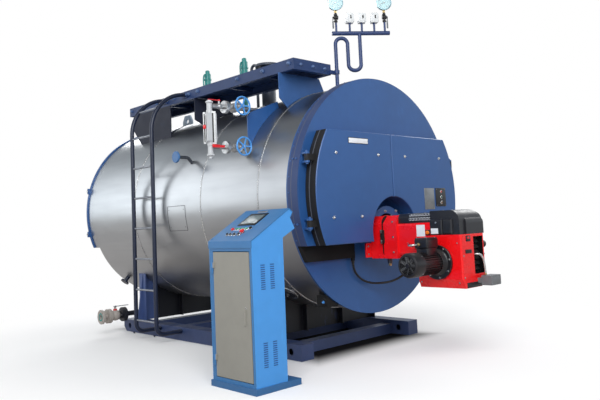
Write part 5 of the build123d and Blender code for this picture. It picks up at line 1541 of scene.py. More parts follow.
@dataclass
class Burner:
    """The burner's seams, bolts, vent, motor, plates, knobs, conduits and damper drive.

    The motor's lengths and radii are in millimetres.
    """

    side_x: float = -0.220
    nose_y: float = -2.838
    low: float = 0.852
    high: float = 1.228
    half_width: float = 0.2415
    flange_y: float = -2.165
    lid_y: float = -2.10
    hinge_y: float = -2.052
    collar: Triple = (0.0, -1.957, 1.085)
    collar_bolts: float = 0.203
    bracket_y: float = -1.914
    sight: Triple = (-0.12, -2.02, 0.853)
    inlet: Pair = (-2.40, 0.955)
    knob: Triple = (0.124, -2.80, 0.955)
    motor_y: float = -2.607
    motor_z: float = 0.826
    motor_length: float = 420.0
    cowl_length: float = 120.0
    motor_radius: float = 88.0
    flange_radius: float = 143.0
    cowl_radius: float = 98.0
    fins: int = 30

    def side(self, y: float, z: float, out: float = 0.0) -> Matrix:
        """A place on the burner's left side, facing out, some millimetres off it."""
        return placed((self.side_x - out * MM, y, z), LEFT)

    def nose(self, x: float, z: float, out: float = 0.0) -> Matrix:
        """A place on the fan housing's front, facing the viewer, some millimetres off it."""
        return placed((x, self.nose_y - out * MM, z), FRONT)

    def build(self) -> None:
        """Makes every group."""
        self.head_trim()
        self.motor()
        self.hood_trim()
        self.plates()
        self.drive()

    def head_trim(self) -> None:
        """The head's joint, its black hinge, flange bolts, collar nuts, sight glass and side bracket."""
        with Piece("burner_head_trim", Slot.RED) as piece:
            piece.add(Paints.VOID, self.hoop(-2.045, 5))
            piece.add(Paints.RED, self.hoop(-2.198, 8))
            x = self.half_width - 1 * MM
            for z in (self.low + 0.055, (self.low + self.high) / 2, self.high - 0.055):
                seats = [placed((side * x, self.flange_y, z), (side, 0, 0)) for side in (-1, 1)]
                piece.each(Paints.ZINC, bolt, seats, 8)
            top = self.high + 0.5 * MM
            seats = [placed((across, self.lid_y, top), UP) for across in (-0.17, -0.06, 0.06, 0.17)]
            piece.each(Paints.ZINC, bolt, seats, 8)
            piece.block(Paints.DUCT, placed((-x - 8 * MM, self.hinge_y, 1.045), LEFT), (36, 115, 22), 4, 3)
            for z in (0.984, 1.074):
                piece.add(Paints.DARK_STEEL, stub((-x - 24 * MM, self.hinge_y, z), UP, 32, 10, 20, 2))
            seats = circle_of(self.collar, FRONT, self.collar_bolts, 8, math.pi / 8)
            piece.each(Paints.ZINC, bolt, seats, 12, 8)
            piece.add(Paints.DARK_STEEL, stub(self.sight, DOWN, 53, 22, 24, 3))
            piece.add(Paints.BRASS, stub(Vector(self.sight) + Vector(mm(0, 0, -53)), DOWN, 20, 15, 6, 1))
            front = self.bracket_y
            piece.add(Paints.RED, bar((-0.312, front, 0.862), (-0.236, front + 22 * MM, 0.992), 6 * MM, 3))
            piece.each(Paints.ZINC, bolt, [placed((-0.284, front, z), FRONT) for z in (0.892, 0.962)], 9)

    def hoop(self, y: float, width: float) -> Shape:
        """A thin band round the head.

        Args:
            y: Its place along the boiler.
            width: Its width in millimetres.

        Returns:
            The band.
        """
        low, high, corner, points = self.low - 1.5 * MM, self.high + 1.5 * MM, 0.07, []
        inner = self.half_width - corner
        centres = ((inner, high - corner), (-inner, high - corner),
                   (-inner, low + corner), (inner, low + corner))
        for quarter, (x, z) in enumerate(centres):
            for step in range(7):
                angle = math.radians(quarter * 90 + step * 15)
                points.append((x + corner * math.cos(angle), z + corner * math.sin(angle)))
        return prism(upright(y), points, width * MM)

    def motor(self) -> None:
        """The fan motor: bolted flange, finned barrel, terminal box with its gland, and a grilled cowl."""
        seat = placed((self.side_x, self.motor_y, self.motor_z), LEFT)
        rim, barrel, cowl = self.flange_radius, self.motor_radius - 8, self.motor_length - self.cowl_length
        with Piece("fan_motor", Slot.MOTOR, replaces=("burner_motor",)) as piece:
            piece.turn(Paints.MOTOR, seat, ((0, 0.3), (rim - 6, 0.3), (rim - 6, 5), (rim, 6), (rim, 21),
                                            (rim - 3, 24), (rim - 30, 26), (104, 34), (92, 66), (0, 66)), 56)
            bolts = circle_of(shifted(seat, 0, 0, 24).translation, LEFT, (rim - 16) * MM, 8, 0.2)
            piece.each(Paints.STEEL, bolt, bolts, 8)
            piece.turn(Paints.MOTOR, seat, ((0, 50), (barrel, 50), (barrel, cowl + 10), (0, cowl + 10)), 40)
            length = cowl - 70
            for spoke in spokes(seat, self.fins):
                fin = shifted(spoke, self.motor_radius - 2, 0, 66 + length / 2)
                piece.block(Paints.MOTOR, fin, (18, 2.6, length), 0.8, 1)
            self.cowl(piece, seat, cowl, self.motor_length)
            self.terminal_box(piece)

    def cowl(self, piece: Piece, seat: Matrix, first: float, last: float) -> None:
        """The fan cowl with its slots and the fan behind them.

        Args:
            piece: The piece it is added to.
            seat: The motor's seat.
            first: Where the cowl starts, in millimetres from the seat.
            last: Where it ends.
        """
        r = self.cowl_radius
        wall = ((r - 3, first), (r, first), (r, last - 20), (r - 5, last - 7), (r - 16, last),
                (r - 22, last), (r - 22, last - 3), (r - 17, last - 3), (r - 8, last - 10),
                (r - 3, last - 22), (r - 3, first))
        piece.turn(Paints.MOTOR, seat, wall, 48)
        piece.add(Paints.VOID, stub(shifted(seat, 0, 0, last - 30).translation, LEFT, 3, r - 5, 40))
        for radius in (18, 32, 46, 60, 74):
            piece.add(Paints.MOTOR, ring(shifted(seat, 0, 0, last - 3.5), *mm(radius, 2.2), 40, 6))
        for spoke in spokes(seat, 8):
            piece.block(Paints.MOTOR, shifted(spoke, 47, 0, last - 4.5), (66, 4.5, 3), 0.8, 1)
        piece.turn(Paints.MOTOR, seat, ((0, last - 6), (17, last - 6), (16, last - 1), (0, last - 0.5)), 28)
        for spoke in spokes(seat, 7):
            blade = spun(shifted(spoke, 52, 0, last - 18), 0.6, "X")
            piece.block(Paints.GREY_PLASTIC, blade, (62, 26, 2.5), 0.8, 1)
        row = spun(shifted(seat, 0, 0, first + 14), math.pi / 4)
        heads = [spun(shifted(spoke, r), math.pi / 2, "Y") for spoke in spokes(row, 4)]
        piece.each(Paints.ZINC, screw, heads, 4)

    def terminal_box(self, piece: Piece) -> None:
        """The box on the motor, with its lid screws, gland and silver conduit."""
        box = Matrix.Translation((-0.372, self.motor_y, 0.0))
        piece.block(Paints.MOTOR, shifted(box, 0, 0, 917.5), (132, 112, 75), 6, 3)
        piece.block(Paints.MOTOR, shifted(box, 0, 0, 988), (156, 128, 76), 10, 4)
        piece.block(Paints.MOTOR, shifted(box, 0, 0, 1029), (144, 116, 10), 3, 3)
        piece.each(Paints.ZINC, screw, corners(box, 60, 46, 1034), 5)
        gland = placed(shifted(box, -78, 20, 982).translation, LEFT)
        piece.add(Paints.BRASS, hexagon(gland, *mm(26, 9)))
        piece.turn(Paints.BRASS, gland, ((0, 8), (10, 8), (10, 18), (7.5, 22), (6.5, 22), (6.5, 8)), 24)
        start = shifted(gland, 0, 0, 15).translation
        hose = [start, start + Vector((-0.03, 0, 0)), start + Vector((-0.055, 0.05, -0.005)),
                (-0.455, -2.49, 0.985), (-0.40, -2.44, 0.995), (-0.32, -2.41, 0.965), (-0.255, *self.inlet),
                (self.side_x - 1 * MM, *self.inlet)]
        piece.add(Paints.STEEL, bent(hose, 8.5 * MM, 12))
        piece.add(Paints.BLACK, stub((self.side_x - 18 * MM, *self.inlet), RIGHT, 19, 11, 20, 2))

    def hood_trim(self) -> None:
        """The hood's vent grid, edge beads, screws and the side flap's knob."""
        with Piece("burner_hood_trim", Slot.COVER) as piece:
            for row, tilt in enumerate((40.0, 0.0)):
                ray = Vector((-math.cos(math.radians(tilt)), 0, math.sin(math.radians(tilt))))
                for column in range(8):
                    foot = Vector((-0.160, -2.335 - column * 0.0296, 1.193 - row * 0.006)) + ray * 0.045
                    seat = placed(foot, ray)
                    piece.block(Paints.VENT, seat, (21, 23, 4), 1, 1)
                    piece.block(Paints.VOID, shifted(seat, 0, 0, 1), (14, 16, 4), 0.6, 1)
            bead = 1.2 * MM
            piece.add(Paints.BLACK, bar((-0.2075, -2.546, 1.1545), (-0.2035, -2.202, 1.163), bead))
            piece.add(Paints.BLACK, bar((-0.2125, -2.822, 1.0475), (-0.2085, -2.546, 1.056), bead))
            for y in (-2.556, -2.683):
                piece.add(Paints.BLACK, bar((-0.2125, y, 1.060), (-0.2085, y + 6 * MM, 1.165), bead))
            knob = self.side(-2.612, 1.150, 9)
            piece.turn(Paints.STEEL, knob, ((0, 0), (9, 0), (8, 5), (0, 6)), 20)
            for y, z in ((-2.26, 1.238), (-2.62, 1.250), (-2.71, 1.250)):
                piece.each(Paints.ZINC, screw, [Matrix.Translation((x, y, z)) for x in (-0.12, 0.02)], 5)

    def plates(self) -> None:
        """Bare labels, the orange switch, the slotted plates, the black knob and the housing's bolts."""
        with Piece("burner_plates", Slot.RED) as piece:
            piece.block(Paints.LABEL, self.side(-2.450, 1.088, 1), (87, 98, 1.6), 0.5, 1)
            switch = self.side(-2.524, 1.071)
            piece.block(Paints.BLACK, shifted(switch, 0, 0, 4), (42, 46, 9), 3)
            dial = ((0, 0), (17, 0), (16, 9), (13, 12), (0, 12))
            piece.turn(Paints.ORANGE, shifted(switch, 0, 0, 8), dial, 28)
            piece.block(Paints.ORANGE, shifted(switch, 0, 0, 20), (7, 27, 6), 1.5)
            piece.block(Paints.LABEL, self.side(-2.596, 1.081, 9.6), (71, 46, 1.6), 0.5, 1)
            self.nose_plates(piece)
            for z in (0.66, 0.98):
                piece.each(Paints.ZINC, bolt, [self.side(y, z) for y in (-2.43, -2.80)], 6)

    def nose_plates(self, piece: Piece) -> None:
        """What stands on the fan housing's front."""
        piece.block(Paints.BLACK, self.nose(-0.117, 1.012, 2), (64, 46, 4), 1.5)
        piece.block(Paints.RED_PLASTIC, self.nose(-0.117, 1.018, 4), (30, 18, 4), 1.2)
        piece.block(Paints.BLACK, self.nose(-0.123, 0.908, 2), (90, 30, 5), 1.5)
        for step in range(5):
            piece.block(Paints.VOID, self.nose(-0.155 + step * 0.016, 0.908, 4.2), (9, 17, 1.5), 0.4, 1)
        piece.add(Paints.DARK_STEEL, stub(self.knob, RIGHT, 28, 9, 20))
        grip = shifted(placed(self.knob, RIGHT), 0, 0, 24)
        piece.turn(Paints.BLACK, grip, ((0, 0), (26, 0), (30, 4), (30, 22), (25, 27), (0, 27)), 32)
        for spoke in spokes(grip, 12):
            piece.block(Paints.BLACK, shifted(spoke, 30, 0, 13), (4, 6, 18), 1.5)
        seats = [self.nose(x, z) for x, z in ((-0.195, 0.700), (-0.195, 0.875), (0.114, 0.875))]
        piece.each(Paints.ZINC, bolt, seats, 6)
        piece.block(Paints.BLACK, self.nose(-0.058, 0.636, 0.5), (222, 42, 3))

    def drive(self) -> None:
        """What fills the recess in the housing's front, and the conduit and lid of the damper drive."""
        depth, rear, front = self.nose_y + 0.060, self.nose_y + 0.034, self.nose_y - 0.038
        with Piece("damper_drive_trim", Slot.ACTUATOR) as piece:
            for step in range(6):
                vane = placed((0.04, depth - 12 * MM, 0.76 + step * 0.045), (0, -0.82, 0.57))
                piece.block(Paints.DUCT, vane, (125, 34, 2.5), 0.8, 1)
            piece.add(Paints.ZINC, stub((-0.03, rear, 0.745), UP, 255, 5, 14))
            piece.add(Paints.ZINC, *(ball((-0.03, rear, z), 9 * MM) for z in (0.80, 0.89, 0.98)))
            hose = [(-0.028, depth - 6 * MM, 0.877), (-0.024, front + 20 * MM, 0.884),
                    (0.012, front + 4 * MM, 0.872), (0.040, front, 0.820), (0.048, front, 0.762),
                    (0.054, front, 0.716)]
            piece.add(Paints.STEEL, bent(hose, 9 * MM, 12))
            low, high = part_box("damper_actuator")
            piece.add(Paints.BRASS, stub((0.054, front, high.z), UP, 16, 11, 6, 1))
            face = placed((high.x - 0.075, low.y, (low.z + high.z) / 2), FRONT)
            piece.each(Paints.ZINC, screw, corners(face, 64, 28), 3.5)
            piece.block(Paints.GREY_PLASTIC, face, (110, 50, 2.4))


@dataclass
class Walkway:
    """The tread pattern and the bolts of the walkway on top."""

    left: float = -0.682
    right: float = -0.182
    front: float = -1.463
    rear: float = 1.584
    top: float = 2.734
    pitch: float = 0.040
    margin: float = 0.035
    web_z: float = 2.692
    end_z: float = 2.680
    web_bolts: tuple[float, ...] = (-1.40, -1.02, -0.620, 0.087, 0.258, 0.556, 0.94, 1.24, 1.53)

    def build(self) -> None:
        """Makes the raised bars of the deck, and the bolts."""
        rows = int((self.rear - self.front - 0.05) / self.pitch)
        columns = int((self.right - self.left - 0.05) / self.pitch)
        first = Matrix.Translation((self.left + self.margin, self.front + self.margin, self.top + 0.6 * MM))
        with Piece("walkway_tread", Slot.SKID_BLUE) as deck:
            for row in range(rows):
                for column in range(columns):
                    spot = first @ Matrix.Translation((column * self.pitch, row * self.pitch, 0))
                    turn = math.radians(45 if (row + column) % 2 else -45)
                    deck.add(Paints.WALK, self.tear(spun(spot, turn)))
        sides, ends = ((self.left, LEFT), (self.right, RIGHT)), ((self.front, FRONT), (self.rear, BACK))
        with Piece("walkway_bolts", Slot.SKID_BLUE) as bolts:
            for y in self.web_bolts:
                bolts.each(Paints.LUG, bolt, [placed((x, y, self.web_z), way) for x, way in sides], 20, 8)
            for x in (self.left + 0.09, self.left + 0.25, self.right - 0.09):
                bolts.each(Paints.LUG, bolt, [placed((x, y, self.end_z), way) for y, way in ends], 16, 6)

    def tear(self, place: Matrix) -> Shape:
        """One raised bar of the tread, with sloping sides."""
        shape = bmesh.new()
        bmesh.ops.create_cone(shape, cap_ends=True, segments=4, radius1=1.0, radius2=0.55, depth=1.6 * MM)
        moved(shape, spun(Matrix.Diagonal((16 * MM, 5 * MM, 1, 1)), math.pi / 4))
        return moved(shape, place)


@dataclass
class Ladder:
    """Feet, clamps, bolts and rung collars of the ladder."""

    x: float = -1.133
    rail_radius: float = 0.0225
    foot: float = 0.099
    rung_first: float = 0.228
    rung_pitch: float = 0.330
    rungs: int = 7
    last_rung: Pair = (-1.042, 2.518)
    clamp_z: float = 2.69

    def build(self) -> None:
        """Makes the collars where the rungs meet the rails, and the clamps at the feet and the top."""
        low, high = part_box("ladder_rails")
        rails = (low.y + self.rail_radius, high.y - self.rail_radius)
        places = [(self.x, self.rung_first + number * self.rung_pitch) for number in range(self.rungs)]
        with Piece("ladder_fittings", Slot.LADDER) as piece:
            for x, z in (*places, self.last_rung):
                for y, way in zip(rails, (1, -1)):
                    start, end = (y + way * (self.rail_radius + reach * MM) for reach in (-1, 5))
                    piece.add(Paints.LADDER, rod((x, start, z), (x, end, z), 15 * MM, 12 * MM, 20))
            for y in rails:
                seat = placed((self.x - self.rail_radius, y, self.foot), LEFT)
                piece.add(Paints.LADDER, bolt(seat, *mm(12, 6)))
                piece.block(Paints.LADDER, Matrix.Translation((-0.86, y, 0.105)), (50, 70, 12), 2)
                piece.block(Paints.WALK, Matrix.Translation((-0.690, y, self.clamp_z)), (14, 85, 72), 3)
                seats = [placed((-0.697, y + along, self.clamp_z), LEFT) for along in (-0.028, 0.028)]
                piece.each(Paints.LUG, bolt, seats, 13)


@dataclass
class GaugeRack:
    """Dials, needles, glasses, nuts and switch lids on the gauge pipework.

    The dials' radii are in millimetres.
    """

    origin: Pair = (-0.162, -1.485)
    turn: float = -36.6
    dials: Pair = (0.046, 0.537)
    switches: Triple = (0.182, 0.304, 0.430)
    dial_z: float = 3.350
    case_z: float = 3.196
    lid_z: float = 3.200
    switch_union_z: float = 3.148
    gauge_union_z: float = 3.252
    cock_nuts: Pair = (3.160, 3.226)
    case_radius: float = 75.0
    case_depth: float = 0.048
    face_radius: float = 67.0
    needle_angles: Pair = (214.0, 208.0)

    def facing(self) -> Vector:
        """The direction that the dials face."""
        angle = math.radians(self.turn)
        return Vector((math.sin(angle), -math.cos(angle), 0))

    def at(self, along: float, z: float, out: float = 0.0) -> Vector:
        """A point some way along the rack, at a height, and some way in front of its pipe."""
        ahead = self.facing()
        return Vector((*self.origin, z)) + Vector((-ahead.y, ahead.x, 0)) * along + ahead * out

    def build(self) -> None:
        """Makes both gauges' faces, the switches' lids and the rack's nuts."""
        with Piece("gauge_faces", Slot.GAUGE) as faces:
            for along, angle in zip(self.dials, self.needle_angles):
                self.gauge(faces, along, angle)
        with Piece("switch_lids", Slot.SWITCH) as lids:
            for along in self.switches:
                self.switch(lids, along)
        with Piece("rack_nuts", Slot.FITTING) as nuts:
            self.nuts(nuts)

    def gauge(self, piece: Piece, along: float, angle: float) -> None:
        """One gauge: bezel, pale face with marks and figures, needle and glass.

        Args:
            piece: The piece it is added to.
            along: Its place along the rack.
            angle: Where its needle points.
        """
        front = placed(self.at(along, self.dial_z, self.case_depth / 2), self.facing())
        r, rim = self.case_radius, self.face_radius
        piece.turn(Paints.GAUGE_CASE, front, ((r - 9, -10), (r + 1.5, -10), (r + 3, -6), (r + 3, 1), (r, 4),
                                              (r - 6, 4.5), (r - 9, 2), (r - 9, -10)), 56)
        face = shifted(front, 0, 0, -4)
        piece.turn(Paints.DIAL, face, ((0, 0), (rim, 0), (rim, -3), (0, -3)), 48)
        for step in range(41):
            length, width = (5, 0.8) if step % 5 else (9, 1.5)
            spot = shifted(spun(face, math.radians(225 - step * 6.75)), 58 - length / 2, 0, 0.3)
            piece.block(Paints.RED_INK if step > 32 else Paints.INK, spot, (length, width, 0.5), 0, 1)
        for index, words in enumerate(("0", "4", "8", "12", "16")):
            mark = math.radians(225 - index * 67.5)
            spot = shifted(face, 40 * math.cos(mark), 40 * math.sin(mark), 0.2)
            piece.add(Paints.INK, lettering(spot, words, 10 * MM))
        needle = mm((-18, -2.6), (0, -2.6), (50, -0.5), (50, 0.5), (0, 2.6), (-18, 2.6))
        over = shifted(face, 0, 0, 2)
        piece.add(Paints.INK, prism(spun(over, math.radians(angle)), needle, 0.8 * MM))
        piece.turn(Paints.CASE, face, ((0, 0), (6, 0), (6, 3), (4, 4.4), (0, 4.6)), 20)
        piece.turn(Paints.CLEAR, over, ((0, 4.6), (rim, 4), (rim, 3), (0, 3.6)), 40)

    def switch(self, piece: Piece, along: float) -> None:
        """One pressure switch's case, window, mark, lid screws and union."""
        case = placed(self.at(along, self.case_z, 0.006), self.facing())
        piece.block(Paints.WHITE_PLASTIC, case, (84, 78, 54), 3, 3)
        lid = placed(self.at(along, self.lid_z, 0.033), self.facing())
        piece.block(Paints.INK, shifted(lid, 10, 4, 1.4), (13, 34, 1.4), 0.5, 1)
        piece.block(Paints.VENT, shifted(lid, -17, 0, 1.4), (4, 56, 1.4), 0.5, 1)
        piece.each(Paints.ZINC, screw, corners(lid, 23, 30, 1.2), 2.8)
        piece.add(Paints.RACK, hexagon(placed(self.at(along, self.switch_union_z), DOWN), *mm(26, 12)))

    def nuts(self, piece: Piece) -> None:
        """Brass unions below the gauges, dark ones on the cocks, and grips on the cocks' levers."""
        for along in self.dials:
            piece.add(Paints.BRASS, hexagon(placed(self.at(along, self.gauge_union_z)), *mm(25, 26)))
            piece.each(Paints.BLACK, hexagon, [placed(self.at(along, z)) for z in self.cock_nuts], 34, 16)
        for body in (Body.GAUGE_LEVER_LEFT, Body.GAUGE_LEVER_RIGHT):
            low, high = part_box(body.value.replace("gauge_lever", "gauge_cock_lever"))
            end = ((low.x + high.x) / 2, (low.y + high.y) / 2, low.z + 3 * MM)
            with Piece(body.value + "_grip", Slot.FITTING, body) as grip:
                grip.add(Paints.GREY_PLASTIC, stub(end, UP, 77, 8, 20, 3))


@dataclass
class LevelGauge:
    """The ruled strip, marker channel, clips and sleeve of the level column, and its valves' bolts.

    The column's radius is in millimetres.
    """

    column: Pair = (-1.335, -1.023)
    radius: float = 25.5
    low: float = 1.952
    high: float = 2.220
    ends: Pair = (1.815, 2.336)
    heights: Pair = (1.920, 2.294)
    valve_x: float = -1.060
    flanges: Pair = (-1.168, -0.963)
    facing: Triple = (-0.55, -0.835, 0.0)

    def beside(self, shift: float, z: float, out: float = 0.0) -> Matrix:
        """A place beside the column that faces the reader.

        Args:
            shift: Millimetres to the right of the column.
            z: Its height.
            out: Millimetres in front of the column.

        Returns:
            The place.
        """
        ahead = Vector(self.facing).normalized()
        right = Vector(UP).cross(ahead)
        return placed(Vector((*self.column, z)) + right * (shift * MM) + ahead * (out * MM), self.facing)

    def build(self) -> None:
        """Makes the gauge's face, the lower lever's grip, and the bolts and nuts of the valves."""
        with Piece("level_gauge_face", Slot.SWITCH) as face:
            self.face(face, (self.low + self.high) / 2, (self.high - self.low) / MM)
        with Piece("lower_lever_grip", Slot.HANDLE_RED, Body.LEVEL_LEVER_LOWER) as grip:
            grip.add(Paints.RED_PLASTIC, bar((-1.348, -1.0775, 1.906), (-1.262, -1.0645, 1.934), 5 * MM, 3))
        self.valves()

    def face(self, piece: Piece, middle: float, tall: float) -> None:
        """The ruled strip and the marker's channel on both sides of the column, and the column's sleeve.

        Args:
            piece: The piece it is added to.
            middle: The height of its middle.
            tall: Its length in millimetres.
        """
        rule = self.beside(36, middle, 24)
        piece.block(Paints.WHITE_PLASTIC, rule, (36, tall + 30, 10), 2)
        piece.block(Paints.INK, shifted(rule, -9, 0, 5), (14, tall, 1.2), 0.3, 1)
        for step in range(27):
            spot = shifted(rule, 10, tall * (step / 26 - 0.5), 5.2)
            piece.block(Paints.INK, spot, (6 if step % 5 else 11, 1.6, 0.6), 0, 1)
        channel = self.beside(-48, middle, 10)
        piece.block(Paints.WHITE_PLASTIC, channel, (24, tall + 20, 9), 2)
        piece.block(Paints.VOID, shifted(channel, 0, 0, 4), (10, tall - 10, 2.4), 0.4, 1)
        piece.block(Paints.RED_PLASTIC, shifted(channel, 0, 10, 6), (26, 34, 8), 2)
        r, low, high = self.radius, self.low / MM, self.high / MM
        for z in (self.low + 0.01, middle, self.high - 0.01):
            piece.block(Paints.TUBE, self.beside(0, z, 4), (112, 12, 6), 1.5)
            piece.add(Paints.TUBE, ring(placed((*self.column, z)), *mm(r + 1.5, 2.2), 36, 8))
        piece.turn(Paints.TUBE, placed((*self.column, 0)),
                   ((r, low - 30), (r + 4, low - 26), (r + 4, high + 26), (r, high + 30), (r - 2, high + 30),
                    (r - 2, low - 30), (r, low - 30)), 36)
        for z, way in zip(self.ends, (DOWN, UP)):
            piece.add(Paints.ZINC, hexagon(placed((*self.column, z), way), *mm(34, 4)))

    def valves(self) -> None:
        """Bonnet bolts, packing nuts and body flange bolts of the two stop valves."""
        x, y, turn = self.valve_x, self.column[1], math.pi / 4
        with Piece("level_valve_bolts", Slot.FITTING) as piece:
            for z in self.heights:
                piece.each(Paints.ZINC, bolt, circle_of((x, y - 0.052, z), FRONT, 0.032, 4, turn), 8, 3)
                piece.add(Paints.STEEL, hexagon(placed((x, y - 0.085, z), FRONT), *mm(26, 14)))
                for flange in self.flanges:
                    piece.each(Paints.ZINC, bolt, circle_of((flange, y, z), LEFT, 0.044, 4, turn), 9, 3)


@dataclass
class TopFittings:
    """Bonnets, levers and bolts of the safety valves, and the steam nozzle's collar."""

    stations: Pair = (0.102, 0.842)

    def build(self) -> None:
        """Makes the fittings of both valves and the nozzle's collar."""
        with Piece("safety_valve_trim", Slot.TEAL) as piece:
            for y in self.stations:
                self.valve(piece, y)
        low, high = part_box("steam_outlet")
        with Piece("nozzle_collars", Slot.STAINLESS) as collars:
            collar = ((80.2, 2400), (130, 2400), (130, 2500), (126, 2506), (80.2, 2508))
            collars.turn(Paints.STEEL, placed((0, (low.y + high.y) / 2, 0)), collar, 56)

    def valve(self, piece: Piece, y: float) -> None:
        """One safety valve's bonnet, lever and bonnet bolts.

        Args:
            piece: The piece it is added to.
            y: Its place along the boiler.
        """
        bonnet = ((30, 2905), (47, 2906), (47, 2925), (41, 2930), (41, 3035), (47, 3040), (47, 3056),
                  (40, 3060), (40, 3118), (30, 3126), (26, 3160), (18, 3164), (18, 3150))
        piece.turn(Paints.TEAL, placed((0, y, 0)), bonnet, 40)
        lever = mm((-10, 0, 3120), (-55, -10, 3112), (-74, -14, 3070), (-78, -16, 3000), (-74, -16, 2955))
        piece.add(Paints.TEAL, bent([Vector((0, y, 0)) + Vector(point) for point in lever], 9 * MM))
        piece.each(Paints.ZINC, bolt, circle_of((0, y, 2.905), UP, 0.040, 4, math.pi / 4), 9, 4)


@dataclass
class LowerFittings:
    """Bolts of the blowdown valve, the handhole's yoke and the small front bracket."""

    face_x: float = -1.221
    valve_x: float = -1.040
    y: float = 1.394
    z: float = 0.220
    yoke_radius: float = 1.088

    def build(self) -> None:
        """Makes the bolts, the yoke and the bracket."""
        with Piece("blowdown_bolts", Slot.PIPE) as piece:
            for side in (-1, 1):
                end = (self.valve_x + side * 0.05, self.y, self.z)
                piece.each(Paints.ZINC, bolt, circle_of(end, (side, 0, 0), 0.047, 4), 10, 4)
            face = placed((self.face_x, self.y, self.z), LEFT)
            piece.turn(Paints.TEAL, face, ((30, 0), (47, 0), (47, 1), (30, 1), (30, 0)))
            stem = placed((self.valve_x, self.y, 0.268))
            piece.turn(Paints.RED_PLASTIC, stem, ((0, 0), (24, 0), (22, 24), (0, 24)), 24)
        self.yoke()
        self.bracket()

    def bracket(self) -> None:
        """The dark bracket below the front of the sheet, with its blue bolt."""
        with Piece("front_bracket", Slot.PIPE) as piece:
            piece.add(Paints.DUCT, bar((-0.660, -1.737, 0.452), (-0.520, -1.600, 0.560), 6 * MM))
            piece.add(Paints.DUCT, rod((-0.620, -1.700, 0.510), (-0.674, -1.700, 0.500), 30 * MM, sides=28,
                                       round_edge=3 * MM))
            seat = placed((-0.672, -1.700, 0.500), (-0.98, 0, -0.18))
            piece.add(Paints.WHEEL, bolt(seat, *mm(13, 6)))

    def yoke(self) -> None:
        """The yoke, stud and nut that hold the handhole's cover."""
        low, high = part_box("handhole")
        centre = (low + high) / 2
        out = Vector((centre.x, 0, centre.z - AXIS_Z)).normalized()
        seat = placed(Vector((0, centre.y, AXIS_Z)) + out * self.yoke_radius, out, BACK)
        with Piece("handhole_yoke", Slot.STAINLESS) as piece:
            piece.block(Paints.DARK_STEEL, shifted(seat, 0, 0, 6), (30, 170, 14), 5, 3)
            piece.add(Paints.DARK_STEEL, bolt(shifted(seat, 0, 0, 13), *mm(18, 14)))
            piece.add(Paints.STEEL, ring(seat, *mm(90, 5), 56, 8))


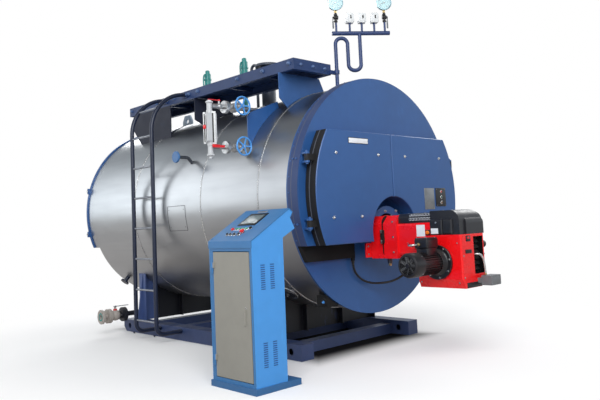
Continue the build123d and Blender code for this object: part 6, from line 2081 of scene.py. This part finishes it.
@dataclass
class Desk:
    """Screen, buttons, louvres, lock and screws of the control desk."""

    lip: Pair = (-1.797, 1.089)
    crest: Pair = (-1.410, 1.317)
    side_near: float = -2.1125
    side_far: float = -1.589
    side_x: Pair = (-1.693, -1.603)
    door_face: float = -1.7935
    lock_z: float = 0.605
    louvre_rows: tuple[Pair, ...] = ((0.909, 0.736), (0.352, 0.183))
    louvre_count: int = 12

    def on_lid(self, across: float, along: float, out: float = 0.0) -> Matrix:
        """A place on the sloping lid.

        Args:
            across: 0 at the far side to 1 at the near side.
            along: 0 at the lip to 1 at the crest.
            out: How many millimetres it stands off.

        Returns:
            The place, with local X across and local Y up the slope.
        """
        rise = Vector((self.crest[0] - self.lip[0], 0, self.crest[1] - self.lip[1]))
        y = self.side_far + (self.side_near - self.side_far) * across
        spot = Vector((self.lip[0], y, self.lip[1])) + rise * along
        normal = Vector((-rise.z, 0, rise.x)).normalized()
        return placed(spot + normal * (out * MM), normal, rise)

    def build(self) -> None:
        """Makes the lid's controls, the louvres and the door's lock."""
        self.controls()
        self.louvres()
        self.lock()

    def controls(self) -> None:
        """The screen in its dark frame, the bare label above it, and the buttons below."""
        with Piece("desk_controls", Slot.LID) as piece:
            self.plate(piece, Paints.BLACK, (0.465, 0.67, 2), (0.41, 0.38, 7), 3, 3)
            self.plate(piece, Paints.SCREEN, (0.465, 0.665, 4.6), (0.34, 0.27, 3), 1)
            self.plate(piece, Paints.PLATE, (0.465, 0.925, 0.6), (0.22, 0.045, 1.6))
            self.plate(piece, Paints.LABEL, (0.47, 0.37, 0.6), (0.30, 0.075, 1.6))
            for step in range(4):
                self.button(piece, 0.355 + step * 0.075, 0.37, Paints.GREEN, 11)
            self.button(piece, 0.277, 0.35, Paints.RED_PLASTIC, 14, 14)
            self.button(piece, 0.67, 0.38, Paints.BLACK, 12, 16)
            for across in (0.30, 0.38, 0.47, 0.57):
                self.selector(piece, across, 0.187)
            self.mushroom(piece, 0.60, 0.25)
            spots = [self.on_lid(across, along) for across in (0.04, 0.96) for along in (0.06, 0.94)]
            piece.each(Paints.LID, screw, spots, 5)

    def plate(self, piece: Piece, finish: Finish, spot: Triple, size: Triple, round_edge: float = 0.5,
              segments: int = 1) -> None:
        """A flat block on the lid.

        Args:
            piece: The piece it is added to.
            finish: Its finish.
            spot: Its place across, along and off the lid.
            size: Its shares of the lid's width and slope, and its thickness in millimetres.
            round_edge: Its rounding in millimetres.
            segments: Steps in the rounding.
        """
        width, slope = self.side_far - self.side_near, math.dist(self.crest, self.lip)
        whole = (size[0] * width / MM, size[1] * slope / MM, size[2])
        piece.block(finish, self.on_lid(*spot), whole, round_edge, segments)

    def button(self, piece: Piece, across: float, along: float, finish: Finish, radius: float,
               height: float = 9) -> None:
        """One push button in its bright collar."""
        seat = self.on_lid(across, along)
        piece.turn(Paints.CASE, seat, ((0, 0), (radius + 4, 0), (radius + 4, 3), (radius + 1, 5), (0, 5)))
        cap = ((0, 4), (radius, 4), (radius, height - 2), (radius * 0.8, height), (0, height + 1))
        piece.turn(finish, seat, cap)

    def selector(self, piece: Piece, across: float, along: float) -> None:
        """One selector with its handle across a bright collar."""
        self.button(piece, across, along, Paints.CASE, 14, 8)
        handle = spun(self.on_lid(across, along, 13), 0.5)
        piece.block(Paints.BLACK, handle, (7, 26, 12), 2.5, 3)
        piece.block(Paints.LABEL, shifted(handle, 0, 8, 6), (2, 9, 1), 0.2, 1)

    def mushroom(self, piece: Piece, across: float, along: float) -> None:
        """The red stop button on its stem."""
        seat = self.on_lid(across, along)
        piece.turn(Paints.CASE, seat, ((0, 0), (17, 0), (17, 4), (12, 6), (0, 6)))
        cap = ((0, 5), (10, 5), (10, 14), (19, 15), (20, 20), (17, 26), (10, 29), (0, 30))
        piece.turn(Paints.RED_PLASTIC, seat, cap, 36)

    def louvres(self) -> None:
        """The pressed louvres of both sides."""
        near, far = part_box("desk_sides")
        gaps = self.louvre_count - 1
        heights = [high - (high - low) / gaps * step for high, low in self.louvre_rows
                   for step in range(self.louvre_count)]
        with Piece("desk_louvres", Slot.DESK) as piece:
            for y, way in ((near.y, -1), (far.y, 1)):
                for x in self.side_x:
                    for z in heights:
                        piece.block(Paints.SLOT, placed((x, y, z), (0, way, 0)), (40, 9, 1), 0, 1)
                        hood = placed((x, y + way * 1.2 * MM, z + 4 * MM), (0, way, -0.5))
                        piece.block(Paints.DESK, hood, (41, 4.5, 1.6), 0.6)

    def lock(self) -> None:
        """The lock of the door."""
        low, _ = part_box("desk_door")
        lock = placed((self.door_face, low.y + 0.052, self.lock_z), LEFT)
        with Piece("desk_door_fittings", Slot.DOOR_GREY, Body.CABINET_DOOR) as piece:
            piece.turn(Paints.CASE, lock, ((0, 0), (6, 0), (6, 2), (5, 3), (0, 3)), 28)
            piece.block(Paints.VOID, shifted(lock, 0, 0, 3), (1.4, 6, 0.6), 0, 1)


SLOT_FINISHES: dict[str, Finish] = {
    "boiler_blue": Paints.BOILER,
    "skid_blue": Paints.SKID,
    "stainless": Paints.STEEL_SHEET,
    "hidden_steel": Paints.HIDDEN,
    "burner_red": Paints.RED,
    "burner_black": Paints.COVER,
    "motor_black": Paints.MOTOR,
    "duct_black": Paints.DUCT,
    "cable_black": Paints.RUBBER,
    "ladder_blue": Paints.LADDER,
    "rung_steel": Paints.RUNG,
    "valve_teal": Paints.TEAL,
    "fitting_steel": Paints.CAST,
    "pipe_dark": Paints.PIPE,
    "gauge_steel": Paints.GAUGE_CASE,
    "switch_white": Paints.WHITE_PLASTIC,
    "handle_black": Paints.BLACK,
    "handle_red": Paints.RED_PLASTIC,
    "wheel_blue": Paints.WHEEL,
    "actuator_grey": Paints.GREY_PLASTIC,
    "desk_blue": Paints.DESK,
    "desk_lid_blue": Paints.LID,
    "desk_door_grey": Paints.GREY,
}

NODE_FINISHES: dict[str, Finish] = {
    "smokebox_door_left": Paints.DOOR,
    "smokebox_door_right": Paints.DOOR,
    "front_smokebox": Paints.RIM,
    "walkway_supports": Paints.SHOULDER,
    "shoulder_gusset": Paints.BOILER,
    "walkway_frame": Paints.WALK,
    "walkway_deck": Paints.WALK,
    "side_nozzle": Paints.NOZZLE,
    "burner_fan_housing": Paints.FAN_RED,
    "desk_plinth": Paints.PLINTH,
    "level_column": Paints.TUBE,
    "lifting_lugs": Paints.LIFT,
    "saddles": Paints.SADDLE,
    "rear_tube_plate": Paints.STEEL_SHEET,
    "gauge_pipework": Paints.RACK,
    "blowdown_line": Paints.BLOWDOWN,
    "blowdown_lever": Paints.ZINC,
    "drain_nozzle": Paints.LADDER,
    "handhole": Paints.DARK_STEEL,
}


def main() -> None:
    """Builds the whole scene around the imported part."""
    logging.basicConfig(level=logging.INFO, format="%(name)s: %(message)s")
    Studio().build()
    BurnerCable().build()
    dress(SLOT_FINISHES, NODE_FINISHES)
    for group in GROUPS:
        group().build()
        log.info("%s is done", group.__name__)


GROUPS = (Cladding, SmokeboxFront, RearEnd, Burner, Walkway, Ladder, GaugeRack, LevelGauge, TopFittings,
          LowerFittings, Desk)

if __name__ == "__main__":
    main()
